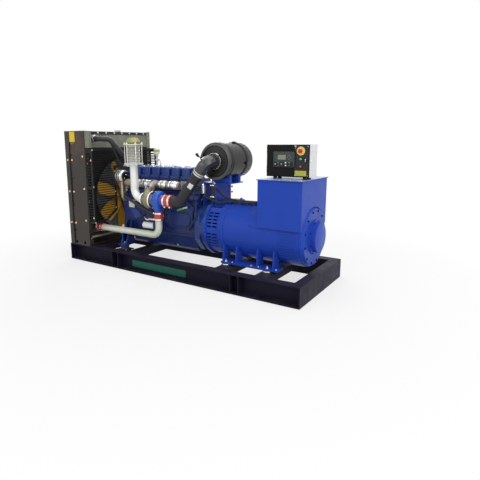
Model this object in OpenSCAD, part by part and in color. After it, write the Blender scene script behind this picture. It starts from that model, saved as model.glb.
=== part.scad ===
// Open-frame generating set on a steel skid: radiator and fan, six-cylinder
// turbocharged engine, alternator, terminal box and control box.
// X runs from the radiator to the alternator, Z is up, millimetres.
// The origin is on the ground at the middle of the skid.

/* [Skid] */
// Length of the skid
skid_len = 3100; // [3090:2:3160]
// Width across the side beams
skid_w = 1116; // [1112:2:1140]
// Height of the side beams
skid_h = 200; // [160:5:240]
// Width of the side beams' flanges
flange_w = 105; // [85:5:115]
// Thickness of the skid's plates
plate_t = 10; // [8:1:12]
// Height of the low cross beams
cross_h = 70; // [60:5:90]
// Radius of the anchor holes
anchor_r = 9; // [7:1:12]

/* [Shaft line] */
// Height of the crankshaft over the skid
shaft_h = 337; // [334:1:345]
// Height of the fan over the crankshaft
fan_rise = 263; // [255:1:270]

/* [Engine] */
// Length of the cylinder block
block_len = 1095; // [1085:5:1115]
// Half the width of the crankcase
crankcase_half = 250; // [244:1:252]
// Half the width of the deck
deck_half = 190; // [180:2:196]
// Height of the deck over the crankshaft
deck_h = 363; // [360:1:370]
// Number of cylinders
cylinders = 6; // [4:1:6]
// Distance between cylinders
cylinder_pitch = 150; // [140:1:152]
// Half the width of a cylinder head
head_half = 150; // [144:1:152]
// Height of a cylinder head
head_h = 146; // [140:1:150]
// Height of a valve cover over its head
valve_cover_h = 120; // [100:2:126]
// Depth of the oil pan under the block
pan_h = 184; // [160:2:200]

/* [Turbocharger and pipes] */
// Distance of the turbocharger's axis from the machine's middle
turbo_side = 385; // [382:1:390]
// Height of the turbocharger's axis over the crankshaft
turbo_rise = 283; // [280:1:288]
// Outer diameter of the charge-air pipes
charge_d = 76; // [60:2:80]
// Outer diameter of the exhaust pipe
exhaust_d = 90; // [80:2:96]
// Length of the exhaust bellows between its flanges' outer faces
bellows_h = 229; // [200:1:240]
// Outer diameter of the black air pipe
air_d = 114; // [100:2:118]
// Outer diameter of the coolant hose
coolant_d = 62; // [50:2:66]
// Wall of the silicone hoses
hose_wall = 10; // [6:1:12]

/* [Radiator] */
// Depth of the radiator's side plates
rad_depth = 356; // [350:2:364]
// Height of the radiator over the skid
rad_h = 1384; // [1370:2:1420]
// Height of the top tank
top_tank_h = 200; // [190:5:205]
// Width of the side plates' folded edges
fold_w = 58; // [46:2:60]
// Thickness of the sheet metal
sheet_t = 5; // [3:1:6]
// Radius of the fan
fan_r = 440; // [420:2:446]
// Number of fan blades
fan_blades = 7; // [4:1:8]
// Depth of the fan guard
guard_depth = 110; // [108:2:120]
// Distance between the guard's bars
guard_pitch = 28; // [24:2:40]

/* [Alternator] */
// Radius of the stator frame
barrel_r = 300; // [290:1:304]
// Length of the stator frame
barrel_len = 600; // [590:5:620]
// Length of the louvred rear section
rear_len = 230; // [220:2:240]
// Radius of the rear section
rear_r = 300; // [292:1:304]
// Half the width of the terminal box
box_half = 318; // [314:1:330]
// Height of the terminal box's top over the skid
box_top = 897; // [880:2:920]

/* [Control box] */
// Width of the control box
panel_w = 428; // [410:2:440]
// Height of the control box
panel_h = 300; // [290:2:320]
// Depth of the control box with its door
panel_depth = 205; // [180:5:220]

/* [Air filter] */
// Radius of the filter canister's rim
filter_r = 190; // [176:2:196]
// Length of the filter canister
filter_len = 500; // [480:5:520]

/* [Hidden] */
$fn = 48;

// Gap between pieces that seat on each other's curved faces, and round a turning shaft
seat = 0.3;
run = 0.2;

// Heights and stations that everything is set from
axis_z = skid_h + shaft_h;
fan_z = axis_z + fan_rise;
rad_x0 = 14 - skid_len / 2;
rad_x1 = rad_x0 + rad_depth;
timing_t = 40;
front_x = rad_x1 + 260;
block_x0 = front_x + timing_t;
block_x1 = block_x0 + block_len;
deck_z = axis_z + deck_h;
head_z = deck_z + head_h;
pan_z = axis_z - 95;
crankcase_top = axis_z + 300;
bell_x1 = block_x1 + 135;
ring_x0 = bell_x1 + 178;
barrel_x0 = ring_x0 + 52;
barrel_x1 = barrel_x0 + barrel_len;
rear_x1 = barrel_x1 + rear_len;
beam_in = skid_w / 2 - flange_w;

BLACK = [0.06, 0.06, 0.08];
RADIATOR_BROWN = [0.16, 0.13, 0.12];
ENGINE_BLUE = [0.05, 0.12, 0.42];
ALTERNATOR_BLUE = [0.10, 0.22, 0.68];
SILVER = [0.72, 0.73, 0.68];
RED = [0.75, 0.12, 0.10];
STEEL_PALE = [0.78, 0.79, 0.76];

// A box between two corners
module block(a, b) translate(a) cube(b - a);

// Cylinders and cones along each axis
module rod_x(x0, x1, y, z, r, r2 = -1)
  translate([x0, y, z]) rotate([0, 90, 0]) cylinder(h = x1 - x0, r1 = r, r2 = r2 < 0 ? r : r2);
module rod_y(x, y0, y1, z, r, r2 = -1)
  translate([x, y0, z]) rotate([-90, 0, 0]) cylinder(h = y1 - y0, r1 = r, r2 = r2 < 0 ? r : r2);
module rod_z(x, y, z0, z1, r, r2 = -1)
  translate([x, y, z0]) cylinder(h = z1 - z0, r1 = r, r2 = r2 < 0 ? r : r2);

// An outline drawn in Y and Z, extruded along X
module prism_x(x0, x1) translate([x0, 0, 0]) rotate([90, 0, 90]) linear_extrude(x1 - x0) children();

// An outline drawn in X and Z, extruded along Y
module prism_y(y0, y1) translate([0, y1, 0]) rotate([90, 0, 0]) linear_extrude(y1 - y0) children();

// A rectangle with round corners between two corners
module round_rect(a, b, r) {
  translate([a.x + r, a.y]) square([b.x - a.x - 2 * r, b.y - a.y]);
  translate([a.x, a.y + r]) square([b.x - a.x, b.y - a.y - 2 * r]);
  for (x = [a.x + r, b.x - r], y = [a.y + r, b.y - r]) translate([x, y]) circle(r);
}

// The same piece on the near side and on the far side
module both_sides() {
  children();
  mirror([0, 1, 0]) children();
}

function unit(v) = v / norm(v);
function turn_angle(a, b) = acos(max(-1, min(1, unit(a) * unit(b))));

// A straight round bar between two points
module bar(a, b, r) {
  d = b - a;
  translate(a) rotate([0, acos(d.z / norm(d)), atan2(d.y, d.x)]) cylinder(h = norm(d), r = r);
}

// A bend of pipe that leaves point p along d and turns towards e
module elbow(p, d, e, bend, r) {
  n = unit(unit(e) - unit(d) * (unit(e) * unit(d)));
  c = p + n * bend;
  x = -n;
  y = unit(d);
  z = cross(x, y);
  multmatrix([[x.x, y.x, z.x, c.x], [x.y, y.y, z.y, c.y], [x.z, y.z, z.z, c.z], [0, 0, 0, 1]])
    rotate_extrude(angle = turn_angle(d, e)) translate([bend, 0]) circle(r);
}

// A pipe along a list of corners, all bent to one radius
module bent_pipe(pts, bend, r) {
  last = len(pts) - 1;
  cut = [
    for (i = [0 : last])
      i == 0 || i == last ? 0 : bend * tan(turn_angle(pts[i] - pts[i - 1], pts[i + 1] - pts[i]) / 2)
  ];
  for (i = [0 : last - 1]) {
    d = unit(pts[i + 1] - pts[i]);
    bar(pts[i] + d * cut[i], pts[i + 1] - d * cut[i + 1], r);
  }
  for (i = [1 : last - 1]) {
    d = unit(pts[i] - pts[i - 1]);
    elbow(pts[i] - d * cut[i], d, pts[i + 1] - pts[i], bend, r);
  }
}

// Corners rounded to arcs, as points for a hose
function rounded(pts, bend, steps) = [
  pts[0],
  for (i = [1 : len(pts) - 2])
    let (
      a = unit(pts[i - 1] - pts[i]),
      b = unit(pts[i + 1] - pts[i]),
      turn = turn_angle(-a, b),
      centre = pts[i] + unit(a + b) * bend / cos(turn / 2),
      x = unit(pts[i] + a * bend * tan(turn / 2) - centre)
    )
    for (k = [0 : steps]) centre + bend * (x * cos(turn * k / steps) - a * sin(turn * k / steps)),
  pts[len(pts) - 1]
];

function tangents(p) = [
  for (i = [0 : len(p) - 1])
    i == 0 ? unit(p[1] - p[0])
    : i == len(p) - 1 ? unit(p[i] - p[i - 1])
    : unit(unit(p[i + 1] - p[i]) + unit(p[i] - p[i - 1]))
];

// One normal for each tangent, carried along without twist
function normals(t, i = 0, n = []) =
  i == len(t) ? n
  : normals(t, i + 1, concat(n, [
      i == 0 ? unit(cross(t[0], abs(t[0].z) < 0.9 ? [0, 0, 1] : [1, 0, 0]))
      : unit(n[i - 1] - t[i] * (n[i - 1] * t[i]))
    ]));

// A hose of one radius along a list of points
module hose(path, r, sides = 24) {
  t = tangents(path);
  n = normals(t);
  last = len(path) - 1;
  points = [
    for (i = [0 : last], k = [0 : sides - 1])
      path[i] + r * (n[i] * cos(k * 360 / sides) + cross(t[i], n[i]) * sin(k * 360 / sides))
  ];
  faces = concat(
    [[for (k = [0 : sides - 1]) k]],
    [for (i = [0 : last - 1], k = [0 : sides - 1])
      let (j = (k + 1) % sides) [i * sides + k, (i + 1) * sides + k, (i + 1) * sides + j, i * sides + j]],
    [[for (k = [sides - 1 : -1 : 0]) last * sides + k]]
  );
  polyhedron(points, faces);
}

// Skid

mount_x = block_x0 + 126;
mount_y = 385;
foot_mount_x = [barrel_x0 + 56, barrel_x1 - 74];
pad_half = 78;
pocket_w = 95;
pocket_x = [mount_x - 13, foot_mount_x[1] - 237];
anchor_x = skid_len / 2 - 200;
anchor_y = skid_w / 2 - 43;

// One long side beam: a channel open outwards with paired stiffeners, closed ends,
// anchor holes and the gusseted pad that carries an engine mount
module side_beam() difference() {
  x0 = -skid_len / 2;
  x1 = skid_len / 2;
  y0 = -skid_w / 2;
  pad_y = 70 - mount_y;
  union() {
    block([x0, y0, 0], [x1, -beam_in, plate_t]);
    block([x0, y0, skid_h - plate_t], [x1, -beam_in, skid_h]);
    block([x0, -beam_in - plate_t, 0], [x1, -beam_in, skid_h]);
    for (x = [x0, x1 - plate_t]) block([x, y0, 0], [x + plate_t, -beam_in, skid_h]);
    for (c = pocket_x, s = [-1, 1])
      translate([c + s * pocket_w / 2, 0, 0])
        block([-plate_t / 2, y0 + 8, 0], [plate_t / 2, -beam_in, skid_h]);
    block([mount_x - pad_half, -beam_in - 1, skid_h - plate_t], [mount_x + pad_half, pad_y, skid_h]);
    for (s = [-1, 1])
      prism_x(mount_x + s * 50 - plate_t / 2, mount_x + s * 50 + plate_t / 2)
        polygon([[-beam_in - 1, skid_h - 110], [-beam_in - 1, skid_h - 1], [pad_y - 10, skid_h - 1]]);
  }
  for (x = [-anchor_x, anchor_x]) rod_z(x, -anchor_y, -1, plate_t + 1, anchor_r);
}

module skid_beam_near() color(BLACK) side_beam();
module skid_beam_far() color(BLACK) mirror([0, 1, 0]) side_beam();

// Two end beams: channels with the web outside
module skid_end_beams() color(BLACK)
  for (m = [0, 1]) mirror([m, 0, 0]) {
    x1 = skid_len / 2;
    block([x1 - plate_t, -beam_in, 0], [x1, beam_in, skid_h]);
    for (z = [0, skid_h - plate_t]) block([x1 - 95, -beam_in, z], [x1, beam_in, z + plate_t]);
  }

cross_spans = [
  [rad_x1 - 80, rad_x1 + 70], [block_x0 + 240, block_x0 + 380],
  [foot_mount_x[0] - 46, foot_mount_x[0] + 104], [foot_mount_x[1] - 61, foot_mount_x[1] + 89]
];

// Low cross beams: channels laid web up
module skid_cross_beams() color(BLACK)
  for (s = cross_spans) {
    block([s[0], -beam_in, skid_h - plate_t], [s[1], beam_in, skid_h]);
    for (x = [s[0], s[1] - plate_t]) block([x, -beam_in, skid_h - cross_h], [x + plate_t, beam_in, skid_h]);
  }

foot_z = skid_h + 22;
foot_mount_y = 313;
engine_foot_z = skid_h + 50;

// Rubber mount: a tapered cup under a steel washer
module rubber_mount(x, y, z1, r) {
  rod_z(x, y, skid_h, z1 - 6, r, r * 0.8);
  rod_z(x, y, z1 - 6, z1, r * 0.95);
}

module vibration_mounts() color(BLACK) both_sides() {
  for (x = foot_mount_x) rubber_mount(x, -foot_mount_y, foot_z, 44);
  rubber_mount(mount_x, -mount_y, engine_foot_z, 52);
}

// Radiator

rad_half = 556;
rad_z1 = skid_h + rad_h;
tank_z = rad_z1 - top_tank_h;
inner_half = rad_half - sheet_t;
notch_x = [rad_x0 + 116, rad_x0 + 266];

// One side plate with inward folds on three edges and drain notches at its foot
module side_plate() difference() {
  union() {
    block([rad_x0, -rad_half, skid_h], [rad_x1, -inner_half, rad_z1]);
    block([rad_x1 - sheet_t, -rad_half, skid_h], [rad_x1, -rad_half + fold_w, rad_z1]);
    block([rad_x0, -rad_half, skid_h], [rad_x0 + sheet_t, -rad_half + fold_w, rad_z1]);
    block([rad_x0, -rad_half, skid_h], [rad_x1, -rad_half + fold_w, skid_h + sheet_t]);
  }
  for (x = notch_x) rod_y(x, -rad_half - 1, -inner_half + 1, skid_h + 35, 20);
}

module radiator_side_near() color(RADIATOR_BROWN) side_plate();
module radiator_side_far() color(RADIATOR_BROWN) mirror([0, 1, 0]) side_plate();

outlet_y = -440;
outlet_z = rad_z1 - 92;
outlet_x = rad_x1 + 30;

// Top tank with its filler neck, cap and hose outlet
module radiator_top_tank() color([0.40, 0.42, 0.34]) {
  neck_x = rad_x0 + 200;
  prism_y(-inner_half, inner_half)
    round_rect([rad_x0 + 90, tank_z], [rad_x1 - sheet_t, rad_z1 - 6], 16);
  rod_z(neck_x, 120, rad_z1 - 7, rad_z1 + 10, 32);
  rod_z(neck_x, 120, rad_z1 + 10, rad_z1 + 22, 42);
  rod_x(rad_x1 - sheet_t - 1, outlet_x, outlet_y, outlet_z, coolant_d / 2 - 3);
}

core_x0 = rad_x0 + 110;
core_x1 = rad_x0 + 220;
core_z0 = skid_h + 130;
core_half = 350;
fin_rows = 22;

// Core plate with level fin rows standing out on both faces
module finned_core(x0, x1, half, z0, z1, proud) {
  pitch = (z1 - z0) / fin_rows;
  block([x0 + proud, -half, z0], [x1 - proud, half, z1]);
  for (i = [0 : fin_rows - 1])
    block([x0, -half + 4, z0 + (i + 0.25) * pitch], [x1, half - 4, z0 + (i + 0.75) * pitch]);
}

module radiator_core() color([0.12, 0.12, 0.12]) finned_core(core_x0, core_x1, core_half, core_z0, tank_z, 8);

cooler_x0 = rad_x0 + sheet_t + 3;
cooler_tank = [core_half + 6, inner_half - 50];
pipe_y = -410;
charge_z = axis_z - 107;
stub_x = rad_x1 + 34;

// Charge-air cooler: a core in front of the radiator's, between two deep upright tanks
module charge_air_cooler() color([0.55, 0.56, 0.55]) {
  z1 = tank_z - 14;
  finned_core(cooler_x0 + 12, core_x0 - 16, cooler_tank[0] + 1, core_z0 + 8, z1 - 8, 7);
  both_sides() {
    block([cooler_x0, -cooler_tank[1], core_z0], [core_x1, -cooler_tank[0], z1]);
    rod_x(core_x1 - 1, stub_x, pipe_y, charge_z, charge_d / 2);
  }
}

// Bottom tank and pan between the side plates, with the tie bar under the fan guard
module radiator_base() color([0.14, 0.13, 0.12]) {
  z0 = skid_h + sheet_t;
  block([rad_x0 + sheet_t, -inner_half, z0], [rad_x1 - sheet_t, inner_half, z0 + 14]);
  block([cooler_x0, -cooler_tank[1], z0 + 13], [core_x1, cooler_tank[1], core_z0]);
  block([rad_x1, -inner_half + 10, axis_z - 235], [rad_x1 + 22, inner_half - 10, axis_z - 205]);
}

guard_x = rad_x1 + guard_depth;
guard_z0 = axis_z - 47;
guard_z1 = tank_z - 12;
shroud_r = fan_r + 16;

// Fan shroud: a flat plate inside the side plates with a short round duct
module fan_shroud() color([0.10, 0.10, 0.11]) {
  x1 = rad_x1 - sheet_t;
  difference() {
    union() {
      block([x1 - 6, -inner_half, guard_z0], [x1, inner_half, tank_z]);
      rod_x(x1 - 6, rad_x1 + 50, 0, fan_z, shroud_r + 5);
    }
    rod_x(x1 - 7, rad_x1 + 51, 0, fan_z, shroud_r);
  }
}

gap_half = 190;
gap_top = fan_z + 340;
gap_mid = fan_z - 180;
gap_foot = 390;
guard_y = -rad_half + 2;
slot = [66, 22];
slot_pitch = 33;
slot_rows = 12;
slot_banks = [24, 448];

// Edge of the guard's middle gap at height z
function gap_edge(z) =
  z > gap_mid ? gap_half : gap_half + (gap_foot - gap_half) * (gap_mid - z) / (gap_mid - guard_z0);

// Half of the fan guard: a slotted side wall and a face of level bars round the engine's gap
module guard_half() {
  bar_h = 7;
  rim = 24;
  difference() {
    block([rad_x1, guard_y, guard_z0], [guard_x, guard_y + sheet_t, guard_z1]);
    for (b = slot_banks, i = [0 : slot_rows - 1])
      translate([rad_x1 + (guard_depth - slot.x) / 2, guard_y - 1, guard_z0 + b + i * slot_pitch])
        cube([slot.x, sheet_t + 2, slot.y]);
  }
  block([guard_x - 4, guard_y, guard_z0], [guard_x, guard_y + rim, guard_z1]);
  block([guard_x - 4, guard_y, guard_z1 - rim], [guard_x, 0, guard_z1]);
  block([rad_x1, guard_y, guard_z1 - sheet_t], [guard_x, 0, guard_z1]);
  block([guard_x - 4, -gap_half - rim, gap_top], [guard_x, 0, gap_top + rim]);
  block([guard_x - 4, -gap_half - rim, gap_mid], [guard_x, -gap_half, gap_top + rim]);
  block([guard_x - 4, guard_y, guard_z0], [guard_x, -gap_foot, guard_z0 + rim]);
  prism_x(guard_x - 4, guard_x) polygon([
    [-gap_half - rim, gap_mid + 12], [-gap_half, gap_mid],
    [-gap_foot, guard_z0], [-gap_foot - rim * 1.4, guard_z0]
  ]);
  for (z = [guard_z0 + guard_pitch : guard_pitch : guard_z1 - rim]) {
    y1 = z > gap_top ? 0 : -gap_edge(z) - 6;
    if (y1 > guard_y + rim + 10) block([guard_x - 10, guard_y + 4, z], [guard_x - 3, y1, z + bar_h]);
  }
}

module fan_guard_near() color([0.12, 0.12, 0.14]) guard_half();
module fan_guard_far() color([0.12, 0.12, 0.14]) mirror([0, 1, 0]) guard_half();

// Fan and belt drive

fan_x = rad_x1 + 8;
fan_w = 56;
hub_r = 95;
hub_x1 = fan_x + fan_w + 12;
shaft_r = 18;
belt_x = front_x - 45;
belt_w = 22;
belt_t = 8;
belt_gap = 0.5;
pulley_half = 17;
crank_pulley_r = 120;
fan_pulley_r = 85;
charge_pulley_r = 45;
charger_y = -270;
charger_z = axis_z + 513;
blade_pitch = 27;
blade_chord = 165;
camber_r = 300;

// One cambered blade, cut from a thin round shell pitched about the blade's length
module blade(angle) translate([fan_x + fan_w / 2, 0, fan_z]) rotate([angle, 0, 0])
  intersection() {
    rotate([0, 0, blade_pitch]) translate([camber_r, 0, 0]) difference() {
      cylinder(h = fan_r, r = camber_r + 3);
      translate([0, 0, -1]) cylinder(h = fan_r + 2, r = camber_r - 3);
    }
    rotate([0, 90, 0]) translate([0, 0, -fan_w]) linear_extrude(2 * fan_w) polygon([
      [-hub_r + 25, -36], [-hub_r + 25, 36], [-fan_r * 0.6, blade_chord * 0.52],
      [-fan_r + 30, blade_chord * 0.5], [-fan_r + 6, blade_chord * 0.3], [-fan_r + 4, -blade_chord * 0.2],
      [-fan_r + 30, -blade_chord * 0.42], [-fan_r * 0.6, -blade_chord * 0.4]
    ]);
  }

// Belt pulley between two rims
module pulley(y, z, r) {
  for (x = [belt_x - pulley_half, belt_x + pulley_half - 5]) rod_x(x, x + 5, y, z, r + 6);
  rod_x(belt_x - pulley_half + 4, belt_x + pulley_half - 4, y, z, r);
}

// Blades, hub and belt pulley on one shaft
module fan() color([0.85, 0.58, 0.12]) {
  for (i = [0 : fan_blades - 1]) blade(25 + i * 360 / fan_blades);
  rod_x(fan_x, hub_x1, 0, fan_z, hub_r);
  rod_x(fan_x - 12, fan_x + 1, 0, fan_z, 60);
  rod_x(hub_x1 - 1, belt_x - pulley_half + 1, 0, fan_z, 42);
  pulley(0, fan_z, fan_pulley_r);
  rod_x(belt_x + pulley_half - 1, front_x - 6, 0, fan_z, shaft_r);
}

// Bearing housing and its flange on the timing cover
module fan_bearing() color(ENGINE_BLUE) difference() {
  union() {
    rod_x(belt_x + pulley_half + 3, front_x, 0, fan_z, 46);
    block([front_x - 14, -75, fan_z - 110], [front_x, 75, fan_z + 52]);
  }
  rod_x(belt_x, front_x - 5, 0, fan_z, shaft_r + run);
}

belt_pulleys = [
  [0, axis_z, crank_pulley_r], [0, fan_z, fan_pulley_r], [charger_y, charger_z, charge_pulley_r]
];
belt_steps = 20;

// Angle of the outward normal of the belt's straight run from pulley a to pulley b
function run_normal(a, b) =
  atan2(b[1] - a[1], b[0] - a[0]) - 90 + asin((a[2] - b[2]) / norm([b[0] - a[0], b[1] - a[1]]));
function wrap_up(a, b) = b < a ? wrap_up(a, b + 360) : b;

// Belt line round the three pulleys, at a distance from their grooves
function belt_loop(off) = [
  for (i = [0 : 2])
    let (
      p = belt_pulleys[i],
      a0 = run_normal(belt_pulleys[(i + 2) % 3], p),
      a1 = wrap_up(a0, run_normal(p, belt_pulleys[(i + 1) % 3]))
    )
    for (k = [0 : belt_steps])
      let (a = a0 + (a1 - a0) * k / belt_steps) [p[0] + (p[2] + off) * cos(a), p[1] + (p[2] + off) * sin(a)]
];

module drive_belt() color([0.03, 0.03, 0.03])
  prism_x(belt_x - belt_w / 2, belt_x + belt_w / 2) difference() {
    polygon(belt_loop(belt_gap + belt_t));
    polygon(belt_loop(belt_gap));
  }

crank_shaft_r = 30;

// Crankshaft pulley with its damper and hub
module crank_pulley() color([0.10, 0.10, 0.10]) {
  pulley(0, axis_z, crank_pulley_r);
  rod_x(belt_x - pulley_half - 20, belt_x - pulley_half + 1, 0, axis_z, 62);
  rod_x(belt_x + pulley_half - 1, front_x - 8, 0, axis_z, 60);
  rod_x(front_x - 9, front_x + 14, 0, axis_z, crank_shaft_r);
}

charger_x0 = belt_x + pulley_half + 5;
charger_r = 75;

module charging_pulley() color([0.55, 0.55, 0.55]) {
  pulley(charger_y, charger_z, charge_pulley_r);
  rod_x(belt_x - pulley_half - 12, belt_x - pulley_half + 1, charger_y, charger_z, 16);
  rod_x(belt_x + pulley_half - 1, charger_x0 + 20, charger_y, charger_z, 12);
}

// Battery-charging alternator on its gusset
module charging_alternator() color([0.66, 0.66, 0.64]) {
  difference() {
    union() {
      rod_x(charger_x0, charger_x0 + 28, charger_y, charger_z, 58, charger_r);
      rod_x(charger_x0 + 28, charger_x0 + 100, charger_y, charger_z, charger_r - 5);
      for (x = [charger_x0 + 27, charger_x0 + 57, charger_x0 + 89])
        rod_x(x, x + 12, charger_y, charger_z, charger_r);
      rod_x(charger_x0 + 100, charger_x0 + 126, charger_y, charger_z, charger_r, 56);
    }
    rod_x(charger_x0 - 1, charger_x0 + 24, charger_y, charger_z, 12 + run);
  }
  prism_x(charger_x0 + 68, charger_x0 + 98) polygon([
    [-crankcase_half, axis_z + 220], [-crankcase_half, crankcase_top + 2],
    [-crankcase_half + 8, charger_z - 62],
    [charger_y - 26, charger_z - 62], [charger_y - 26, axis_z + 260]
  ]);
}

// Engine

function cylinder_x(i) = block_x0 + 110 + i * cylinder_pitch;
near_plugs = [0 : cylinders - 3];

// Cylinder block with ribs and core plugs on its sides
module engine_block() color(ENGINE_BLUE) {
  prism_x(block_x0, block_x1) polygon([
    [-crankcase_half, pan_z], [crankcase_half, pan_z], [crankcase_half, crankcase_top],
    [deck_half, crankcase_top + 33], [deck_half, deck_z], [-deck_half, deck_z],
    [-deck_half, crankcase_top + 33], [-crankcase_half, crankcase_top]
  ]);
  for (i = [0 : cylinders - 1]) {
    rod_y(cylinder_x(i), crankcase_half - 1, crankcase_half + 5, axis_z + 200, 24);
    rod_y(cylinder_x(i) + cylinder_pitch / 2, crankcase_half - 1, crankcase_half + 7, axis_z + 255, 12);
  }
  for (i = near_plugs) {
    rod_y(cylinder_x(i), -crankcase_half - 5, -crankcase_half + 1, axis_z + 120, 24);
    block([cylinder_x(i) + 69, -crankcase_half - 7, axis_z + 10],
          [cylinder_x(i) + 81, -crankcase_half + 1, axis_z + 210]);
  }
}

// Oil pan with its bolting rim
module oil_pan() color(ENGINE_BLUE) {
  block([block_x0, -crankcase_half - 10, pan_z - 14], [block_x1, crankcase_half + 10, pan_z]);
  prism_x(block_x0 + 10, block_x1 - 15) polygon([
    [-crankcase_half + 22, pan_z - 13], [crankcase_half - 22, pan_z - 13],
    [crankcase_half - 50, pan_z - pan_h + 30], [crankcase_half - 75, pan_z - pan_h],
    [-crankcase_half + 75, pan_z - pan_h], [-crankcase_half + 50, pan_z - pan_h + 30]
  ]);
}

// Gear cover on the front of the block
module timing_cover() color(ENGINE_BLUE) difference() {
  prism_x(front_x, block_x0) {
    polygon([
      [-205, pan_z], [205, pan_z], [215, axis_z + 20], [190, fan_z - 110], [120, fan_z + 62],
      [-120, fan_z + 62], [-190, fan_z - 110], [-215, axis_z + 20]
    ]);
  }
  rod_x(front_x - 1, front_x + 16, 0, axis_z, crank_shaft_r + run);
}

head_gap = 8;

// One cylinder head for each cylinder
module cylinder_heads() color(ENGINE_BLUE)
  for (i = [0 : cylinders - 1]) {
    x0 = cylinder_x(i) - cylinder_pitch / 2 + head_gap / 2;
    x1 = x0 + cylinder_pitch - head_gap;
    block([x0, -head_half, deck_z], [x1, head_half, head_z]);
  }

// One round-cornered valve cover on each head
module valve_covers() color([0.08, 0.18, 0.52])
  for (i = [0 : cylinders - 1]) {
    x0 = cylinder_x(i) - cylinder_pitch / 2 + 12;
    x1 = x0 + cylinder_pitch - 24;
    translate([0, 0, head_z]) linear_extrude(14)
      round_rect([x0 - 5, -head_half + 5], [x1 + 5, head_half - 5], 28);
    translate([0, 0, head_z + 13]) linear_extrude(valve_cover_h - 13)
      round_rect([x0, -head_half + 12], [x1, head_half - 12], 26);
    top_z = head_z + valve_cover_h;
    for (y = [-head_half + 48, head_half - 48]) rod_z(cylinder_x(i), y, top_z - 1, top_z + 7, 17, 14);
  }

manifold_y = -270;
manifold_z = deck_z + 78;

// Exhaust manifold: a log with a branch and flange for each head, and the duct to the turbine
module exhaust_manifold() color([0.50, 0.48, 0.46]) {
  rod_x(cylinder_x(0) - 20, cylinder_x(cylinders - 1) + 30, manifold_y, manifold_z, 40);
  for (i = [0 : cylinders - 1]) {
    x = cylinder_x(i);
    rod_y(x, manifold_y, -head_half - 12, manifold_z, 28);
    block([x - 46, -head_half - 14, manifold_z - 40], [x + 46, -head_half, manifold_z + 40]);
    if (i > 0)
      rod_x(x - cylinder_pitch / 2 - 12, x - cylinder_pitch / 2 + 12, manifold_y, manifold_z, 46);
  }
  block([turbine_x - 34, -turbo_side - 34, turbine_flange_z], [turbine_x + 34, manifold_y, manifold_z + 10]);
}

// Intake manifold on the far side
module intake_manifold() color(ENGINE_BLUE) {
  x0 = cylinder_x(0) - 60;
  x1 = cylinder_x(cylinders - 1) + 60;
  prism_x(x0, x1)
    round_rect([head_half + 20, deck_z + 18], [head_half + 122, deck_z + 132], 22);
  for (i = [0 : cylinders - 1])
    block([cylinder_x(i) - 40, head_half, deck_z + 35], [cylinder_x(i) + 40, head_half + 30, deck_z + 115]);
}

// Turbocharger

turbo_z = axis_z + turbo_rise;
turbine_x = block_x1 - 545;
turbine_flange_z = turbo_z + 122;
comp_x = turbine_x + 144;
neck_x1 = comp_x + 92;

// Round scroll casing about the turbocharger's axis
module scroll(x, ring, tube) translate([x, -turbo_side, turbo_z]) rotate([0, 90, 0]) {
  rotate_extrude() translate([ring, 0]) circle(tube);
  translate([0, 0, -tube + 4]) cylinder(h = 2 * tube - 8, r = ring);
}

module turbine_housing() color([0.40, 0.36, 0.28]) {
  scroll(turbine_x, 72, 44);
  rod_x(turbine_x - 95, turbine_x - 30, -turbo_side, turbo_z, exhaust_d / 2 + 10, 72);
  rod_x(turbine_x + 38, turbine_x + 54, -turbo_side, turbo_z, 84);
  translate([turbine_x, -turbo_side, 0]) {
    block([-34, -34, turbo_z + 30], [34, 34, turbine_flange_z]);
    block([-44, -42, turbine_flange_z - 12], [44, 42, turbine_flange_z]);
  }
}

comp_out_z = turbo_z - 134;

// Compressor scroll on the bearing housing, with its inlet neck and downward outlet
module compressor_housing() color([0.10, 0.24, 0.62]) {
  rod_x(turbine_x + 54, comp_x - 36, -turbo_side, turbo_z, 58);
  rod_x(comp_x - 46, comp_x - 30, -turbo_side, turbo_z, 96);
  scroll(comp_x, 72, 40);
  rod_x(comp_x + 30, neck_x1 - 30, -turbo_side, turbo_z, 72, air_d / 2);
  rod_x(neck_x1 - 31, neck_x1, -turbo_side, turbo_z, air_d / 2);
  rod_z(comp_x, pipe_y, comp_out_z, turbo_z - 20, charge_d / 2);
}

// A sleeve of hose round a pipe along X, or along Z
module sleeve_x(x0, x1, y, z, r) difference() {
  rod_x(x0, x1, y, z, r + hose_wall);
  rod_x(x0 - 1, x1 + 1, y, z, r + seat);
}
module sleeve_z(x, y, z0, z1, r) difference() {
  rod_z(x, y, z0, z1, r + hose_wall);
  rod_z(x, y, z0 - 1, z1 + 1, r + seat);
}

leg_z1 = comp_out_z - 26;

module silicone_hoses() color(RED) {
  sleeve_x(neck_x1 - 24, neck_x1 + 92, -turbo_side, turbo_z, air_d / 2);
  sleeve_z(comp_x, pipe_y, leg_z1 - 60, comp_out_z + 8, charge_d / 2);
  both_sides() sleeve_x(stub_x - 28, stub_x + 62, pipe_y, charge_z, charge_d / 2);
}

// Charge-air pipes from the compressor to the cooler, and from the cooler to the intake
module charge_pipes() color(SILVER) {
  intake_z = deck_z + 75;
  riser_x = front_x - 80;
  near = [[comp_x, pipe_y, leg_z1], [comp_x, pipe_y, charge_z], [stub_x + 16, pipe_y, charge_z]];
  bent_pipe(near, 95, charge_d / 2);
  bent_pipe([
    [stub_x + 16, -pipe_y, charge_z], [riser_x, -pipe_y, charge_z], [riser_x, -pipe_y, intake_z],
    [cylinder_x(0) + 30, -pipe_y, intake_z], [cylinder_x(0) + 30, head_half + 122, intake_z]
  ], 70, charge_d / 2);
}

// Exhaust

exhaust_x = turbine_x - 230;
bellows_z = axis_z + 666;

module exhaust_pipe() color([0.80, 0.80, 0.76])
  bent_pipe([
    [turbine_x - 95, -turbo_side, turbo_z], [exhaust_x, -turbo_side, turbo_z],
    [exhaust_x, -turbo_side, bellows_z]
  ], 110, exhaust_d / 2);

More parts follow.
